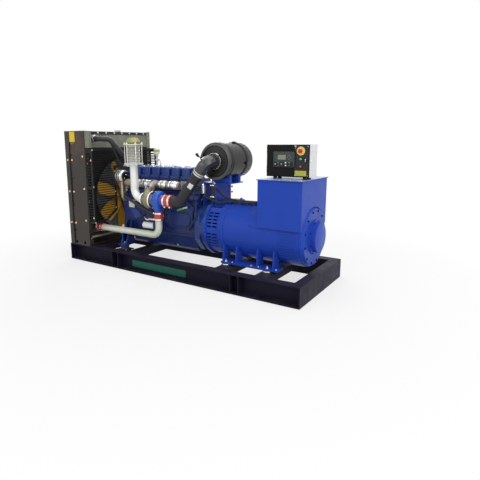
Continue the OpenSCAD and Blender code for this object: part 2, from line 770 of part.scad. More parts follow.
outlet_h = 68;
outlet_depth = 60;
flange_r = 109;
bellows_r = 76;
bellows_waves = 9;
tie_rods = 6;
outlet_r = exhaust_d / 2;

// Corrugated bellows between two flanges, with tie rods and an open outlet neck
module exhaust_bellows() color(STEEL_PALE) translate([exhaust_x, -turbo_side, bellows_z]) difference() {
  pitch = (bellows_h - 28) / bellows_waves;
  union() {
    rotate_extrude() polygon(concat(
      [[0, 13], [bellows_r - 10, 13]],
      [for (i = [0 : bellows_waves - 1], k = [0.25, 0.75])
        [bellows_r - (k > 0.5 ? 10 : 0), 14 + (i + k) * pitch]],
      [[bellows_r - 10, bellows_h - 13], [0, bellows_h - 13]]
    ));
    for (z = [0, bellows_h - 14]) translate([0, 0, z]) cylinder(h = 14, r = flange_r);
    translate([0, 0, bellows_h - 1]) cylinder(h = 12, r = flange_r - 28);
    translate([0, 0, bellows_h + 10]) cylinder(h = outlet_h - 10, r1 = outlet_r + 22, r2 = outlet_r + 5);
    for (i = [0 : tie_rods - 1])
      rotate(30 + i * 360 / tie_rods) translate([flange_r - 12, 0, 6]) cylinder(h = bellows_h - 12, r = 5);
  }
  translate([0, 0, bellows_h + outlet_h - outlet_depth]) cylinder(h = outlet_depth + 1, r = outlet_r);
}

// Coolant

thermostat = [block_x0 + 12, -165];
thermostat_z = head_z + 94;

module thermostat_housing() color(ENGINE_BLUE) {
  x0 = thermostat.x - 30;
  head_x0 = cylinder_x(0) - cylinder_pitch / 2 + head_gap / 2;
  block([x0, thermostat.y - 24, deck_z + 40], [head_x0, thermostat.y + 90, head_z + 44]);
  rod_z(thermostat.x, thermostat.y, head_z + 43, thermostat_z, coolant_d / 2 - 3);
}

coolant_bends = [
  [outlet_x, outlet_y, outlet_z], [outlet_x + 95, outlet_y, outlet_z],
  [thermostat.x - 32, -235, outlet_z - 30],
  [thermostat.x, thermostat.y, outlet_z - 130], [thermostat.x, thermostat.y, thermostat_z]
];

module coolant_hose() color([0.05, 0.05, 0.06]) hose(rounded(coolant_bends, 90, 6), coolant_d / 2, 20);

// Air intake

filter_x = bell_x1 + 97;
filter_z = axis_z + 715;
filter_y0 = -filter_len / 2;
elbow_top = [filter_x, filter_y0 - 140, filter_z];
air_low = [comp_x + 281, -turbo_side, turbo_z];
air_dir = unit(air_low - elbow_top);
air_joint = elbow_top + air_dir * 150;

module air_pipe() color([0.07, 0.07, 0.08])
  hose(rounded([[neck_x1 + 1, -turbo_side, turbo_z], air_low, air_joint], 110, 8), air_d / 2);

module air_filter_elbow() color([0.09, 0.08, 0.10]) {
  low_end = air_joint - air_dir * seat;
  hose(rounded([[filter_x, filter_y0, filter_z], elbow_top, low_end], 95, 10), air_d / 2 + 6);
}

// Canister: ribbed cover, body, clamp ring and rear cover
module air_filter() color([0.08, 0.08, 0.09]) {
  y1 = filter_y0 + filter_len;
  rod_y(filter_x, filter_y0, filter_y0 + 26, filter_z, filter_r - 34, filter_r - 4);
  rod_y(filter_x, filter_y0 + 26, filter_y0 + 38, filter_z, filter_r);
  rod_y(filter_x, filter_y0 + 38, y1 - 150, filter_z, filter_r - 6);
  rod_y(filter_x, y1 - 150, y1 - 134, filter_z, filter_r + 4);
  rod_y(filter_x, y1 - 134, y1 - 28, filter_z, filter_r - 5);
  rod_y(filter_x, y1 - 28, y1, filter_z, filter_r - 5, filter_r - 40);
}

post_x = [block_x1 + 20, bell_x1 + 40];
shelf_z = filter_z - filter_r - 40;
saddle_y = [-130, 50];

// Posts, shelf and saddles that carry the filter over the flywheel housing
module air_filter_bracket() color([0.14, 0.26, 0.66]) difference() {
  union() {
    for (x = post_x) block([x, -152, axis_z + 200], [x + 10, 152, shelf_z]);
    block([post_x[0], -152, shelf_z - 10], [filter_x + 112, 152, shelf_z]);
    for (y = saddle_y) block([filter_x - 112, y, shelf_z - 1], [filter_x + 112, y + 44, shelf_z + 90]);
  }
  rod_y(filter_x, -200, 200, filter_z, filter_r - 6 + seat);
  rod_x(block_x1 + 17, bell_x1 - 18, 0, axis_z, bell_cone[0] + seat, bell_cone[1] + seat);
  rod_x(bell_x1, ring_x0, 0, axis_z, screen_r + seat);
}

// Engine side pieces

module oil_cooler_cover() color(ENGINE_BLUE) {
  x0 = block_x1 - 430;
  x1 = block_x1 - 40;
  prism_y(-crankcase_half - 16, -crankcase_half) round_rect([x0, axis_z - 30], [x1, axis_z + 274], 90);
  prism_y(-crankcase_half - 24, -crankcase_half - 15)
    round_rect([x0 + 30, axis_z - 6], [x1 - 30, axis_z + 150], 66);
}

filter_mount_x = [block_x1 - 515, block_x1 - 467];

// Spin-on oil filter on its mounting block
module oil_filter() color([0.85, 0.85, 0.86]) {
  y = -crankcase_half - 100;
  block([filter_mount_x[0], y - 40, axis_z - 62], [filter_mount_x[1], -crankcase_half, axis_z + 22]);
  rod_x(filter_mount_x[0] - 180, filter_mount_x[0] + 1, y, axis_z - 22, 37);
}

starter_y = crankcase_half + 65;

module starter_motor() color([0.10, 0.10, 0.11]) {
  rod_x(block_x1 - 285, block_x1, starter_y, axis_z - 10, 60);
  rod_x(block_x1 - 200, block_x1 - 60, starter_y, axis_z + 72, 28);
}

// Fuel injection pump with one delivery valve for each cylinder
module injection_pump() color([0.60, 0.60, 0.58]) {
  x0 = cylinder_x(2) - 90;
  block([x0, crankcase_half, axis_z + 40], [x0 + 320, crankcase_half + 75, axis_z + 130]);
  for (i = [0 : cylinders - 1]) rod_z(x0 + 30 + i * 50, crankcase_half + 38, axis_z + 129, axis_z + 162, 13);
  rod_x(x0 - 90, x0 + 1, crankcase_half + 45, axis_z + 85, 40);
}

// Front engine mount: a foot plate and two gussets bolted to a pad on the block
module engine_mounts() color(ALTERNATOR_BLUE) both_sides() {
  pad_y = -crankcase_half - 14;
  block([mount_x - 60, -mount_y - 55, engine_foot_z], [mount_x + 60, pad_y, engine_foot_z + 12]);
  for (x = [mount_x - 45, mount_x + 33])
    prism_x(x, x + 12) polygon([
      [-mount_y - 30, engine_foot_z + 11], [pad_y, engine_foot_z + 11],
      [pad_y, pan_z + 90], [pad_y - 36, pan_z + 90]
    ]);
  block([mount_x - 60, pad_y - 1, pan_z + 5], [mount_x + 60, -crankcase_half, pan_z + 95]);
}

bell_r = 312;
bell_cone = [276, 296];

// Flywheel housing: a flat-sided casting behind a round flange, with the starter's flange
module flywheel_housing() color(ENGINE_BLUE) {
  prism_x(block_x1, block_x1 + 62) polygon([
    [-180, axis_z - 250], [180, axis_z - 250], [285, axis_z - 120], [285, axis_z + 150],
    [80, axis_z + 262], [-80, axis_z + 262], [-285, axis_z + 150], [-285, axis_z - 120]
  ]);
  rod_x(block_x1 + 17, bell_x1 - 18, 0, axis_z, bell_cone[0], bell_cone[1]);
  rod_x(bell_x1 - 18, bell_x1, 0, axis_z, bell_r);
  rod_x(block_x1, block_x1 + 18, starter_y, axis_z - 10, 68);
}

// Alternator

screen_r = 292;
screen_wall = 10;
windows = 8;
window_rows = 5;
window_pitch = 7.3;
window_x = [[bell_x1 + 24, bell_x1 + 76], [bell_x1 + 88, bell_x1 + 148]];
ring_r = 310;

// Drive end: a hollow ring with slotted windows for the cooling air
module alternator_drive_end() color(ALTERNATOR_BLUE) difference() {
  union() {
    rod_x(bell_x1, bell_x1 + 14, 0, axis_z, bell_r - 2);
    rod_x(bell_x1 + 13, ring_x0, 0, axis_z, screen_r);
  }
  rod_x(bell_x1 - 1, ring_x0 + 1, 0, axis_z, screen_r - screen_wall);
  for (w = [0 : windows - 1], k = [0 : window_rows - 1], x = window_x)
    translate([0, 0, axis_z])
      rotate([(w + 0.5) * 360 / windows + (k - (window_rows - 1) / 2) * window_pitch, 0, 0])
        block([x[0], screen_r - 30, -8], [x[1], screen_r + 20, 8]);
}

foot_t = 18;
foot_half = 340;
foot_x = [barrel_x0 + 5, barrel_x1 + 45];
gusset_x = [barrel_x0 + 12, barrel_x0 + 165, barrel_x0 + 405, barrel_x1 - 20];

// Stator frame with its ring flange, feet and gussets
module alternator_frame() color(ALTERNATOR_BLUE) {
  rod_x(ring_x0, ring_x0 + 24, 0, axis_z, ring_r);
  rod_x(ring_x0 + 23, barrel_x0, 0, axis_z, ring_r - 4);
  rod_x(barrel_x0 - 1, barrel_x1, 0, axis_z, barrel_r);
  both_sides() {
    block([foot_x[0], -foot_half, foot_z], [foot_x[1], -190, foot_z + foot_t]);
    for (x = gusset_x)
      prism_x(x, x + 14) polygon([
        [-foot_half + 20, foot_z + foot_t - 1], [-190, foot_z + foot_t - 1], [-190, axis_z - 190],
        [-240, axis_z - 132], [-barrel_r - 8, axis_z - 132]
      ]);
  }
}

louvres = 11;
louvre_step = 5.4;

// Rear section with louvred air inlets on both sides
module alternator_rear() color(ALTERNATOR_BLUE) {
  rod_x(barrel_x1, rear_x1, 0, axis_z, rear_r);
  both_sides() for (i = [0 : louvres - 1])
    translate([0, 0, axis_z]) rotate([-13 + i * louvre_step, 0, 0])
      block([barrel_x1 + 20, -rear_r - 7, -4], [rear_x1 - 20, -rear_r + 10, 4]);
}

bracket_r = 290;
cap_r = 148;

// Rear end bracket with the exciter's cap
module alternator_end_bracket() color(ALTERNATOR_BLUE) {
  rod_x(rear_x1, rear_x1 + 18, 0, axis_z, bracket_r + 4);
  rod_x(rear_x1 + 17, rear_x1 + 45, 0, axis_z, bracket_r, bracket_r - 14);
  rod_x(rear_x1 + 44, rear_x1 + 56, 0, axis_z, cap_r + 22);
  rod_x(rear_x1 + 55, rear_x1 + 102, 0, axis_z, cap_r);
}

box_x = [rear_x1 - 421, rear_x1 + 30];
box_z0 = axis_z + 94;
box_top_z = skid_h + box_top;
lid_t = 8;

// Terminal box saddled on the alternator, with its lid
module terminal_box() color(ALTERNATOR_BLUE) {
  difference() {
    block([box_x[0], -box_half, box_z0], [box_x[1], box_half, box_top_z - lid_t]);
    rod_x(box_x[0] - 1, barrel_x1, 0, axis_z, barrel_r + seat);
    rod_x(barrel_x1 - 1, rear_x1, 0, axis_z, rear_r + seat);
    rod_x(rear_x1 - 1, box_x[1] + 1, 0, axis_z, bracket_r + 4 + seat);
  }
  block([box_x[0] - 10, -box_half - 10, box_top_z - lid_t], [box_x[1] + 10, box_half + 10, box_top_z]);
}

// Control box

panel_foot = 23;
panel_wall = 3;
panel_x0 = box_x[0] + 21;
panel_x1 = panel_x0 + panel_w;
panel_z0 = box_top_z + panel_foot;
panel_y0 = -180;
door_t = 22;
case_y = panel_y0 + door_t;
door_y = case_y - seat;
case_y1 = panel_y0 + panel_depth;
hinge_x = panel_x0 - 5;
hinge_y = case_y - seat / 2;
hinge_r = 4.5;
knuckle = 20;
hinge_z = [panel_z0 + 60, panel_z0 + 240];

// Cabinet open at the front, on four feet, with its hinge knuckles
module control_box() color([0.85, 0.86, 0.87]) {
  difference() {
    block([panel_x0, case_y, panel_z0], [panel_x1, case_y1, panel_z0 + panel_h]);
    block([panel_x0 + panel_wall, case_y - 1, panel_z0 + panel_wall],
          [panel_x1 - panel_wall, case_y1 - panel_wall, panel_z0 + panel_h - panel_wall]);
  }
  for (x = [panel_x0 + 60, panel_x1 - 60], y = [case_y + 40, case_y1 - 40])
    rod_z(x, y, box_top_z, panel_z0 + 1, 16);
  for (z = hinge_z) {
    rod_z(hinge_x, hinge_y, z, z + knuckle, hinge_r);
    block([hinge_x, hinge_y + 1, z], [panel_x0 + 1, hinge_y + 4, z + knuckle]);
  }
}

front_y = door_y - 16;
stop_x = panel_x0 + 347;
stop_z = panel_z0 + 242;
key_x = panel_x0 + 395;
key_z = panel_z0 + 156;
lamp_z = [panel_z0 + 169, panel_z0 + 100];
stem_r = 11;

// Folded door with the controller's bezel, lamps, stop ring and hinge knuckles
module control_door() color([0.07, 0.07, 0.07]) {
  difference() {
    union() {
      difference() {
        block([panel_x0, front_y, panel_z0], [panel_x1, door_y, panel_z0 + panel_h]);
        block([panel_x0 + panel_wall, front_y + panel_wall, panel_z0 + panel_wall],
              [panel_x1 - panel_wall, door_y + 1, panel_z0 + panel_h - panel_wall]);
      }
      block([panel_x0 + 74, front_y - 12, panel_z0 + 91], [panel_x0 + 291, front_y + 1, panel_z0 + 236]);
      rod_y(stop_x, front_y - 4, front_y + 1, stop_z, 40);
      for (z = lamp_z) rod_y(stop_x + 3, front_y - 10, front_y + 1, z, 13);
    }
    rod_y(stop_x, front_y - 5, front_y + 5, stop_z, stem_r + run);
    rod_y(key_x, front_y - 5, front_y + 5, key_z, stem_r + run);
  }
  for (z = hinge_z, k = [z - knuckle - seat, z + knuckle + seat]) {
    rod_z(hinge_x, hinge_y, k, k + knuckle, hinge_r);
    block([hinge_x, hinge_y - 4, k], [panel_x0 + 1, hinge_y - 1, k + knuckle]);
  }
}

// Mushroom button whose stem slides in the door, with its nut behind the plate
module emergency_stop() color([0.80, 0.08, 0.06]) {
  rod_y(stop_x, front_y - 30, front_y - 20, stop_z, 15, 20);
  rod_y(stop_x, front_y - 20, front_y - 14, stop_z, 20);
  rod_y(stop_x, front_y - 15, front_y + 10, stop_z, stem_r);
  rod_y(stop_x, front_y + panel_wall + seat, front_y + 9, stop_z, 16);
}

// Rotary key switch in the door, with its nut behind the plate
module key_switch() color([0.70, 0.70, 0.70]) {
  rod_y(key_x, front_y - 6, front_y - seat, key_z, 15);
  rod_y(key_x, front_y - 1, front_y + 10, key_z, stem_r);
  rod_y(key_x, front_y + panel_wall + seat, front_y + 9, key_z, 15);
  block([key_x - 2, front_y - 22, key_z - 9], [key_x + 2, front_y - 5, key_z + 9]);
}

harness_y = -130;
head_x1 = cylinder_x(cylinders - 1) + (cylinder_pitch - head_gap) / 2;
harness_path = [
  [box_x[0], harness_y, axis_z + 295], [barrel_x0 + 40, harness_y, axis_z + 295],
  [ring_x0 - 78, -182, axis_z + 284],
  [bell_x1 - 60, -186, axis_z + 330], [block_x1 - 14, -150, deck_z + 60],
  [(block_x1 + head_x1) / 2, -120, deck_z + 75], [head_x1 + seat, -120, deck_z + 75]
];

// Loom from the terminal box over the alternator to the engine
module cable_harness() color([0.04, 0.04, 0.05]) hose(rounded(harness_path, 45, 4), 9, 8);

skid_beam_near();
skid_beam_far();
skid_end_beams();
skid_cross_beams();
vibration_mounts();
radiator_side_near();
radiator_side_far();
radiator_top_tank();
radiator_core();
charge_air_cooler();
radiator_base();
fan_shroud();
fan_guard_near();
fan_guard_far();
fan();
fan_bearing();
drive_belt();
crank_pulley();
charging_alternator();
charging_pulley();
engine_block();
oil_pan();
timing_cover();
cylinder_heads();
valve_covers();
exhaust_manifold();
intake_manifold();
turbine_housing();
compressor_housing();
silicone_hoses();
charge_pipes();
exhaust_pipe();
exhaust_bellows();
coolant_hose();
thermostat_housing();
air_pipe();
air_filter_elbow();
air_filter();
air_filter_bracket();
oil_cooler_cover();
oil_filter();
starter_motor();
injection_pump();
engine_mounts();
flywheel_housing();
alternator_drive_end();
alternator_frame();
alternator_rear();
alternator_end_bracket();
terminal_box();
control_box();
control_door();
emergency_stop();
key_switch();
cable_harness();
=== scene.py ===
"""Looks of the open-frame generating set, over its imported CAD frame.

Lengths are in millimetres up to Build.done, which makes metres of them. Camera, lamps,
floor and materials are in metres.
"""
import math
import random

import bmesh
import bpy
from mathutils import Matrix, Vector


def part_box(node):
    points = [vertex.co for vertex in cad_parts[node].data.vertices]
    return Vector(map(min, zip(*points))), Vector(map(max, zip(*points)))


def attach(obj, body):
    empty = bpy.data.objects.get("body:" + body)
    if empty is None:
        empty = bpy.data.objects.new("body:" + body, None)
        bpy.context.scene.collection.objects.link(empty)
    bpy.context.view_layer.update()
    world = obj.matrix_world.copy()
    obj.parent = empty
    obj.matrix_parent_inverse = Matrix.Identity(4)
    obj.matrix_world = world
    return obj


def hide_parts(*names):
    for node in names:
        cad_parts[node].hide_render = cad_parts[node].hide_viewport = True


MM = 0.001
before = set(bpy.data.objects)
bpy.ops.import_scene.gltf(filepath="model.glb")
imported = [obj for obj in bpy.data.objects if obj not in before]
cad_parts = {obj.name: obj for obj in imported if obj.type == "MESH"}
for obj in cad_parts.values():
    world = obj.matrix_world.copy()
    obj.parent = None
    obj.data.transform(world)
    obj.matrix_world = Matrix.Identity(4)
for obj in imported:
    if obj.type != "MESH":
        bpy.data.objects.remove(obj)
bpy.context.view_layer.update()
rng = random.Random(7)
scene = bpy.context.scene

# Camera

PHOTO = 480.0
FOCAL, CENTRE_X, CENTRE_Y = 420.8, 217.1, 221.3
EYE = (2.891, -3.842, 1.433)
YAW, PITCH, ROLL = math.radians(33.86), math.radians(10.49), math.radians(-0.19)
SENSOR = 36.0

camera_data = bpy.data.cameras.new("camera")
camera = bpy.data.objects.new("camera", camera_data)
scene.collection.objects.link(camera)
forward = Vector((-math.sin(YAW) * math.cos(PITCH), math.cos(YAW) * math.cos(PITCH), -math.sin(PITCH)))
level = Vector((math.cos(YAW), math.sin(YAW), 0))
upward = level.cross(forward)
right = level * math.cos(ROLL) + upward * math.sin(ROLL)
turned = Matrix((right, right.cross(forward), -forward)).transposed()
camera.matrix_world = Matrix.Translation(EYE) @ turned.to_4x4()
camera_data.sensor_width = SENSOR
camera_data.lens = FOCAL / PHOTO * SENSOR
camera_data.shift_x = (PHOTO / 2 - CENTRE_X) / PHOTO
camera_data.shift_y = (CENTRE_Y - PHOTO / 2) / PHOTO
camera_data.clip_end = 100
scene.camera = camera

# Materials


def tree(name):
    mat = bpy.data.materials.new(name)
    mat.use_nodes = True
    mat.node_tree.nodes.clear()
    return mat, mat.node_tree


def node(t, kind, inputs=(), **settings):
    """Adds a node to a tree. An input given as a socket is joined, anything else is set."""
    made = t.nodes.new("ShaderNode" + kind)
    for key, v in settings.items():
        setattr(made, key, v)
    for key, v in dict(inputs).items():
        if isinstance(v, bpy.types.NodeSocket):
            t.links.new(v, made.inputs[key])
        else:
            made.inputs[key].default_value = v
    return made


class Shader:
    """A small builder for one procedural material."""

    def __init__(self, name, color, rough=0.5, metal=0.0):
        self.mat, self.t = tree(name)
        out = node(self.t, "OutputMaterial")
        self.p = node(self.t, "BsdfPrincipled", {"Metallic": metal, "Roughness": rough})
        self.t.links.new(self.p.outputs[0], out.inputs[0])
        self.coord = node(self.t, "TexCoord").outputs["Object"]
        self.color = node(self.t, "RGB").outputs[0]
        self.color.default_value = (*color, 1)
        self.rough = rough
        self.normal = None

    def texture(self, kind, scale, stretch=(1, 1, 1), **inputs):
        mapping = node(self.t, "Mapping", {"Scale": stretch, "Vector": self.coord})
        return node(self.t, "Tex" + kind, {"Scale": scale, "Vector": mapping.outputs[0], **inputs})

    def noise(self, scale, detail, stretch=(1, 1, 1), rough=0.55):
        return self.texture("Noise", scale, stretch, Detail=detail, Roughness=rough).outputs[0]

    def bands(self, pitch, direction):
        """Soft lines, a pitch in metres apart."""
        tex = self.texture("Wave", 1 / pitch / 3.0)
        tex.bands_direction = direction
        return tex.outputs[1]

    def cells(self, scale):
        return self.texture("Voronoi", scale).outputs[0]

    def ramp(self, value, lo, hi, a=0.0, b=1.0):
        return node(self.t, "MapRange", {"From Min": lo, "From Max": hi, "To Min": a, "To Max": b,
                                         "Value": value}).outputs[0]

    def times(self, a, b):
        return node(self.t, "Math", {0: a, 1: b}, operation="MULTIPLY").outputs[0]

    def value(self, fac):
        """Scales the colour's brightness by a factor."""
        self.color = node(self.t, "HueSaturation", {"Color": self.color, "Value": fac}).outputs[0]
        return self

    def mix(self, fac, color):
        """Mixes a second colour in by a factor."""
        mixed = node(self.t, "Mix", data_type="RGBA")
        self.t.links.new(fac, mixed.inputs[0])
        self.t.links.new(self.color, mixed.inputs[6])
        mixed.inputs[7].default_value = (*color, 1)
        self.color = mixed.outputs[2]
        return self

    def mottle(self, amount, scale=5.0):
        return self.value(self.ramp(self.noise(scale, 5), 0.3, 0.7, 1 - amount, 1 + amount))

    def bevel(self, radius):
        return node(self.t, "Bevel", {"Radius": radius}, samples=4).outputs[0]

    def soften(self, radius):
        """Rounds hard edges in the shading."""
        self.normal = self.bevel(radius)
        return self

    def edge(self):
        """1 on edges, 0 on flats."""
        rounded = self.bevel(0.004)
        flat = node(self.t, "NewGeometry").outputs["Normal"]
        dot = node(self.t, "VectorMath", {0: rounded, 1: flat}, operation="DOT_PRODUCT")
        return self.ramp(dot.outputs["Value"], 0.995, 0.80)

    def up(self):
        """1 on faces that look up."""
        split = node(self.t, "SeparateXYZ", {0: node(self.t, "NewGeometry").outputs["Normal"]})
        return self.ramp(split.outputs[2], 0.6, 1.0)

    def wear(self, color, amount):
        return self.mix(self.times(self.edge(), self.ramp(self.noise(40, 6), 0.42, 0.62, 0, amount)), color)

    def dust(self, amount):
        """A grey film on what looks up."""
        film = self.times(self.up(), self.ramp(self.noise(9, 6), 0.35, 0.7, 0, amount))
        return self.mix(film, (0.42, 0.40, 0.37))

    def grime(self, amount, scale, color=(0.02, 0.02, 0.02)):
        return self.mix(self.ramp(self.noise(scale, 8, rough=0.7), 0.5, 0.75, 0, amount), color)

    def bump(self, height, strength, distance):
        under = {} if self.normal is None else {"Normal": self.normal}
        inputs = {"Strength": strength, "Distance": distance, "Height": height, **under}
        self.normal = node(self.t, "Bump", inputs).outputs[0]
        return self

    def roughen(self, spread, scale=12):
        value = self.ramp(self.noise(scale, 6), 0.3, 0.7, self.rough - spread, self.rough + spread)
        self.t.links.new(value, self.p.inputs["Roughness"])
        return self

    def done(self, **sockets):
        """Sets what is constant, and joins colour and normal."""
        for key, v in sockets.items():
            self.p.inputs[key.replace("_", " ")].default_value = v
        self.t.links.new(self.color, self.p.inputs["Base Color"])
        if self.normal is not None:
            self.t.links.new(self.normal, self.p.inputs["Normal"])
        return self.mat


def paint(name, color, rough, coat, orange, wear=(0.5, 0.5, 0.5), worn=0.25, dust=0.08, mottle=0.05,
          specular=0.5):
    s = Shader(name, color, rough)
    s.mottle(mottle).wear(wear, worn).dust(dust)
    s.soften(0.003).bump(s.noise(260, 2), orange, 0.0006).roughen(0.07)
    return s.done(Coat_Weight=coat, Coat_Roughness=0.12, Specular_IOR_Level=specular)


def sheet_brown():
    """Brown-black sheet metal with patches of painted coppery reflection here and there."""
    s = Shader("radiator_paint", (0.027, 0.020, 0.016), 0.34)
    # The coppery patches mixed in here are a painted reflection, not a stain.
    s.mottle(0.15, 4).mix(s.ramp(s.noise(2.2, 3, (1, 1, 1.4)), 0.50, 0.72, 0, 0.6), (0.120, 0.056, 0.034))
    s.wear((0.14, 0.10, 0.07), 0.3).dust(0.06).soften(0.003).bump(s.noise(260, 2), 0.15, 0.0006).roughen(0.07)
    return s.done(Specular_IOR_Level=0.35)


def cast_paint(name, color, rough=0.40, lump=0.35):
    """Gloss paint over a sand casting."""
    s = Shader(name, color, rough)
    s.mottle(0.10, 7).grime(0.35, 9).wear((0.35, 0.37, 0.42), 0.25).dust(0.07)
    s.soften(0.005).bump(s.noise(170, 5), lump, 0.0012).bump(s.noise(24, 3), 0.15, 0.004).roughen(0.10)
    return s.done(Specular_IOR_Level=0.35)


def metal(name, color, rough, scratch=0.12, tint=0.08, scale=90):
    s = Shader(name, color, rough, 1.0)
    s.mottle(tint, 9).soften(0.0015).bump(s.noise(scale, 5), scratch, 0.0006).roughen(0.09, 30)
    return s.done()


def casting(name, color, rough, metallic, lump, stain=None):
    s = Shader(name, color, rough, metallic)
    s.mottle(0.16, 10)
    if stain:
        s.mix(s.ramp(s.noise(6, 6), 0.42, 0.66, 0, 0.8), stain)
    s.soften(0.004).bump(s.noise(230, 6), lump, 0.0014).roughen(0.12, 18)
    return s.done()


def rubber(name, color, rough):
    s = Shader(name, color, rough)
    s.mottle(0.12, 14).dust(0.10).soften(0.002).bump(s.noise(300, 4), 0.18, 0.0006).roughen(0.08, 20)
    return s.done(Sheen_Weight=0.15, Sheen_Roughness=0.4, Specular_IOR_Level=0.35)


def plastic(name, color, rough, grain, specular=0.3):
    s = Shader(name, color, rough)
    s.mottle(0.06, 12).dust(0.06).soften(0.002).bump(s.noise(420, 3), grain, 0.0005).roughen(0.06, 25)
    return s.done(Specular_IOR_Level=specular)


def silicone():
    """Red silicone over fabric, with the wrap's fine ridges."""
    s = Shader("silicone_red", (0.50, 0.030, 0.022), 0.30)
    s.mottle(0.12, 20).soften(0.003).bump(s.cells(300), 0.25, 0.0008).bump(s.noise(60, 3), 0.2, 0.002)
    return s.roughen(0.08).done(Coat_Weight=0.3, Coat_Roughness=0.15)


def lagged(name, color, hot, rough=0.42):
    """Silver heat-proof coating that has yellowed here and there."""
    s = Shader(name, color, rough, 0.25)
    s.mottle(0.06, 5).mix(s.ramp(s.noise(4, 5), 0.42, 0.70, 0, 0.55), hot).grime(0.12, 14, (0.3, 0.28, 0.2))
    s.soften(0.003).bump(s.noise(160, 5), 0.25, 0.0010).roughen(0.10)
    return s.done()


def finned(name, color):
    """A tube-and-fin core: fine upright fins between level tubes, bumped, with painted shade between the fins
    and painted light on them.
    """
    s = Shader(name, color, 0.45, 0.6)
    s.mottle(0.25, 7).dust(0.05)
    fins = s.bands(0.0022, "Y")
    # Lighter on the fin lines and darker between them: painted light and shade, over a bump of the same
    # lines.
    return s.value(s.ramp(fins, 0, 1, 0.55, 1.25)).bump(fins, 0.8, 0.0015).done()


def ribbed_belt():
    s = Shader("belt_rubber", (0.016, 0.016, 0.017), 0.62)
    return s.bump(s.bands(0.0036, "X"), 0.9, 0.0015).mottle(0.1, 20).roughen(0.08).done()


def glow(name, color, strength):
    """A lens or screen with a faint light of its own."""
    return Shader(name, color, 0.15).mottle(0.04, 80).done(
        Coat_Weight=0.8, Coat_Roughness=0.05, Emission_Color=(*color, 1), Emission_Strength=strength)


def bare_plate(name, color):
    s = Shader(name, color, 0.35)
    s.mottle(0.05, 30).grime(0.10, 25, (0.2, 0.2, 0.2)).soften(0.0008)
    return s.bump(s.noise(200, 3), 0.08, 0.0004).roughen(0.06).done(Specular_IOR_Level=0.3)


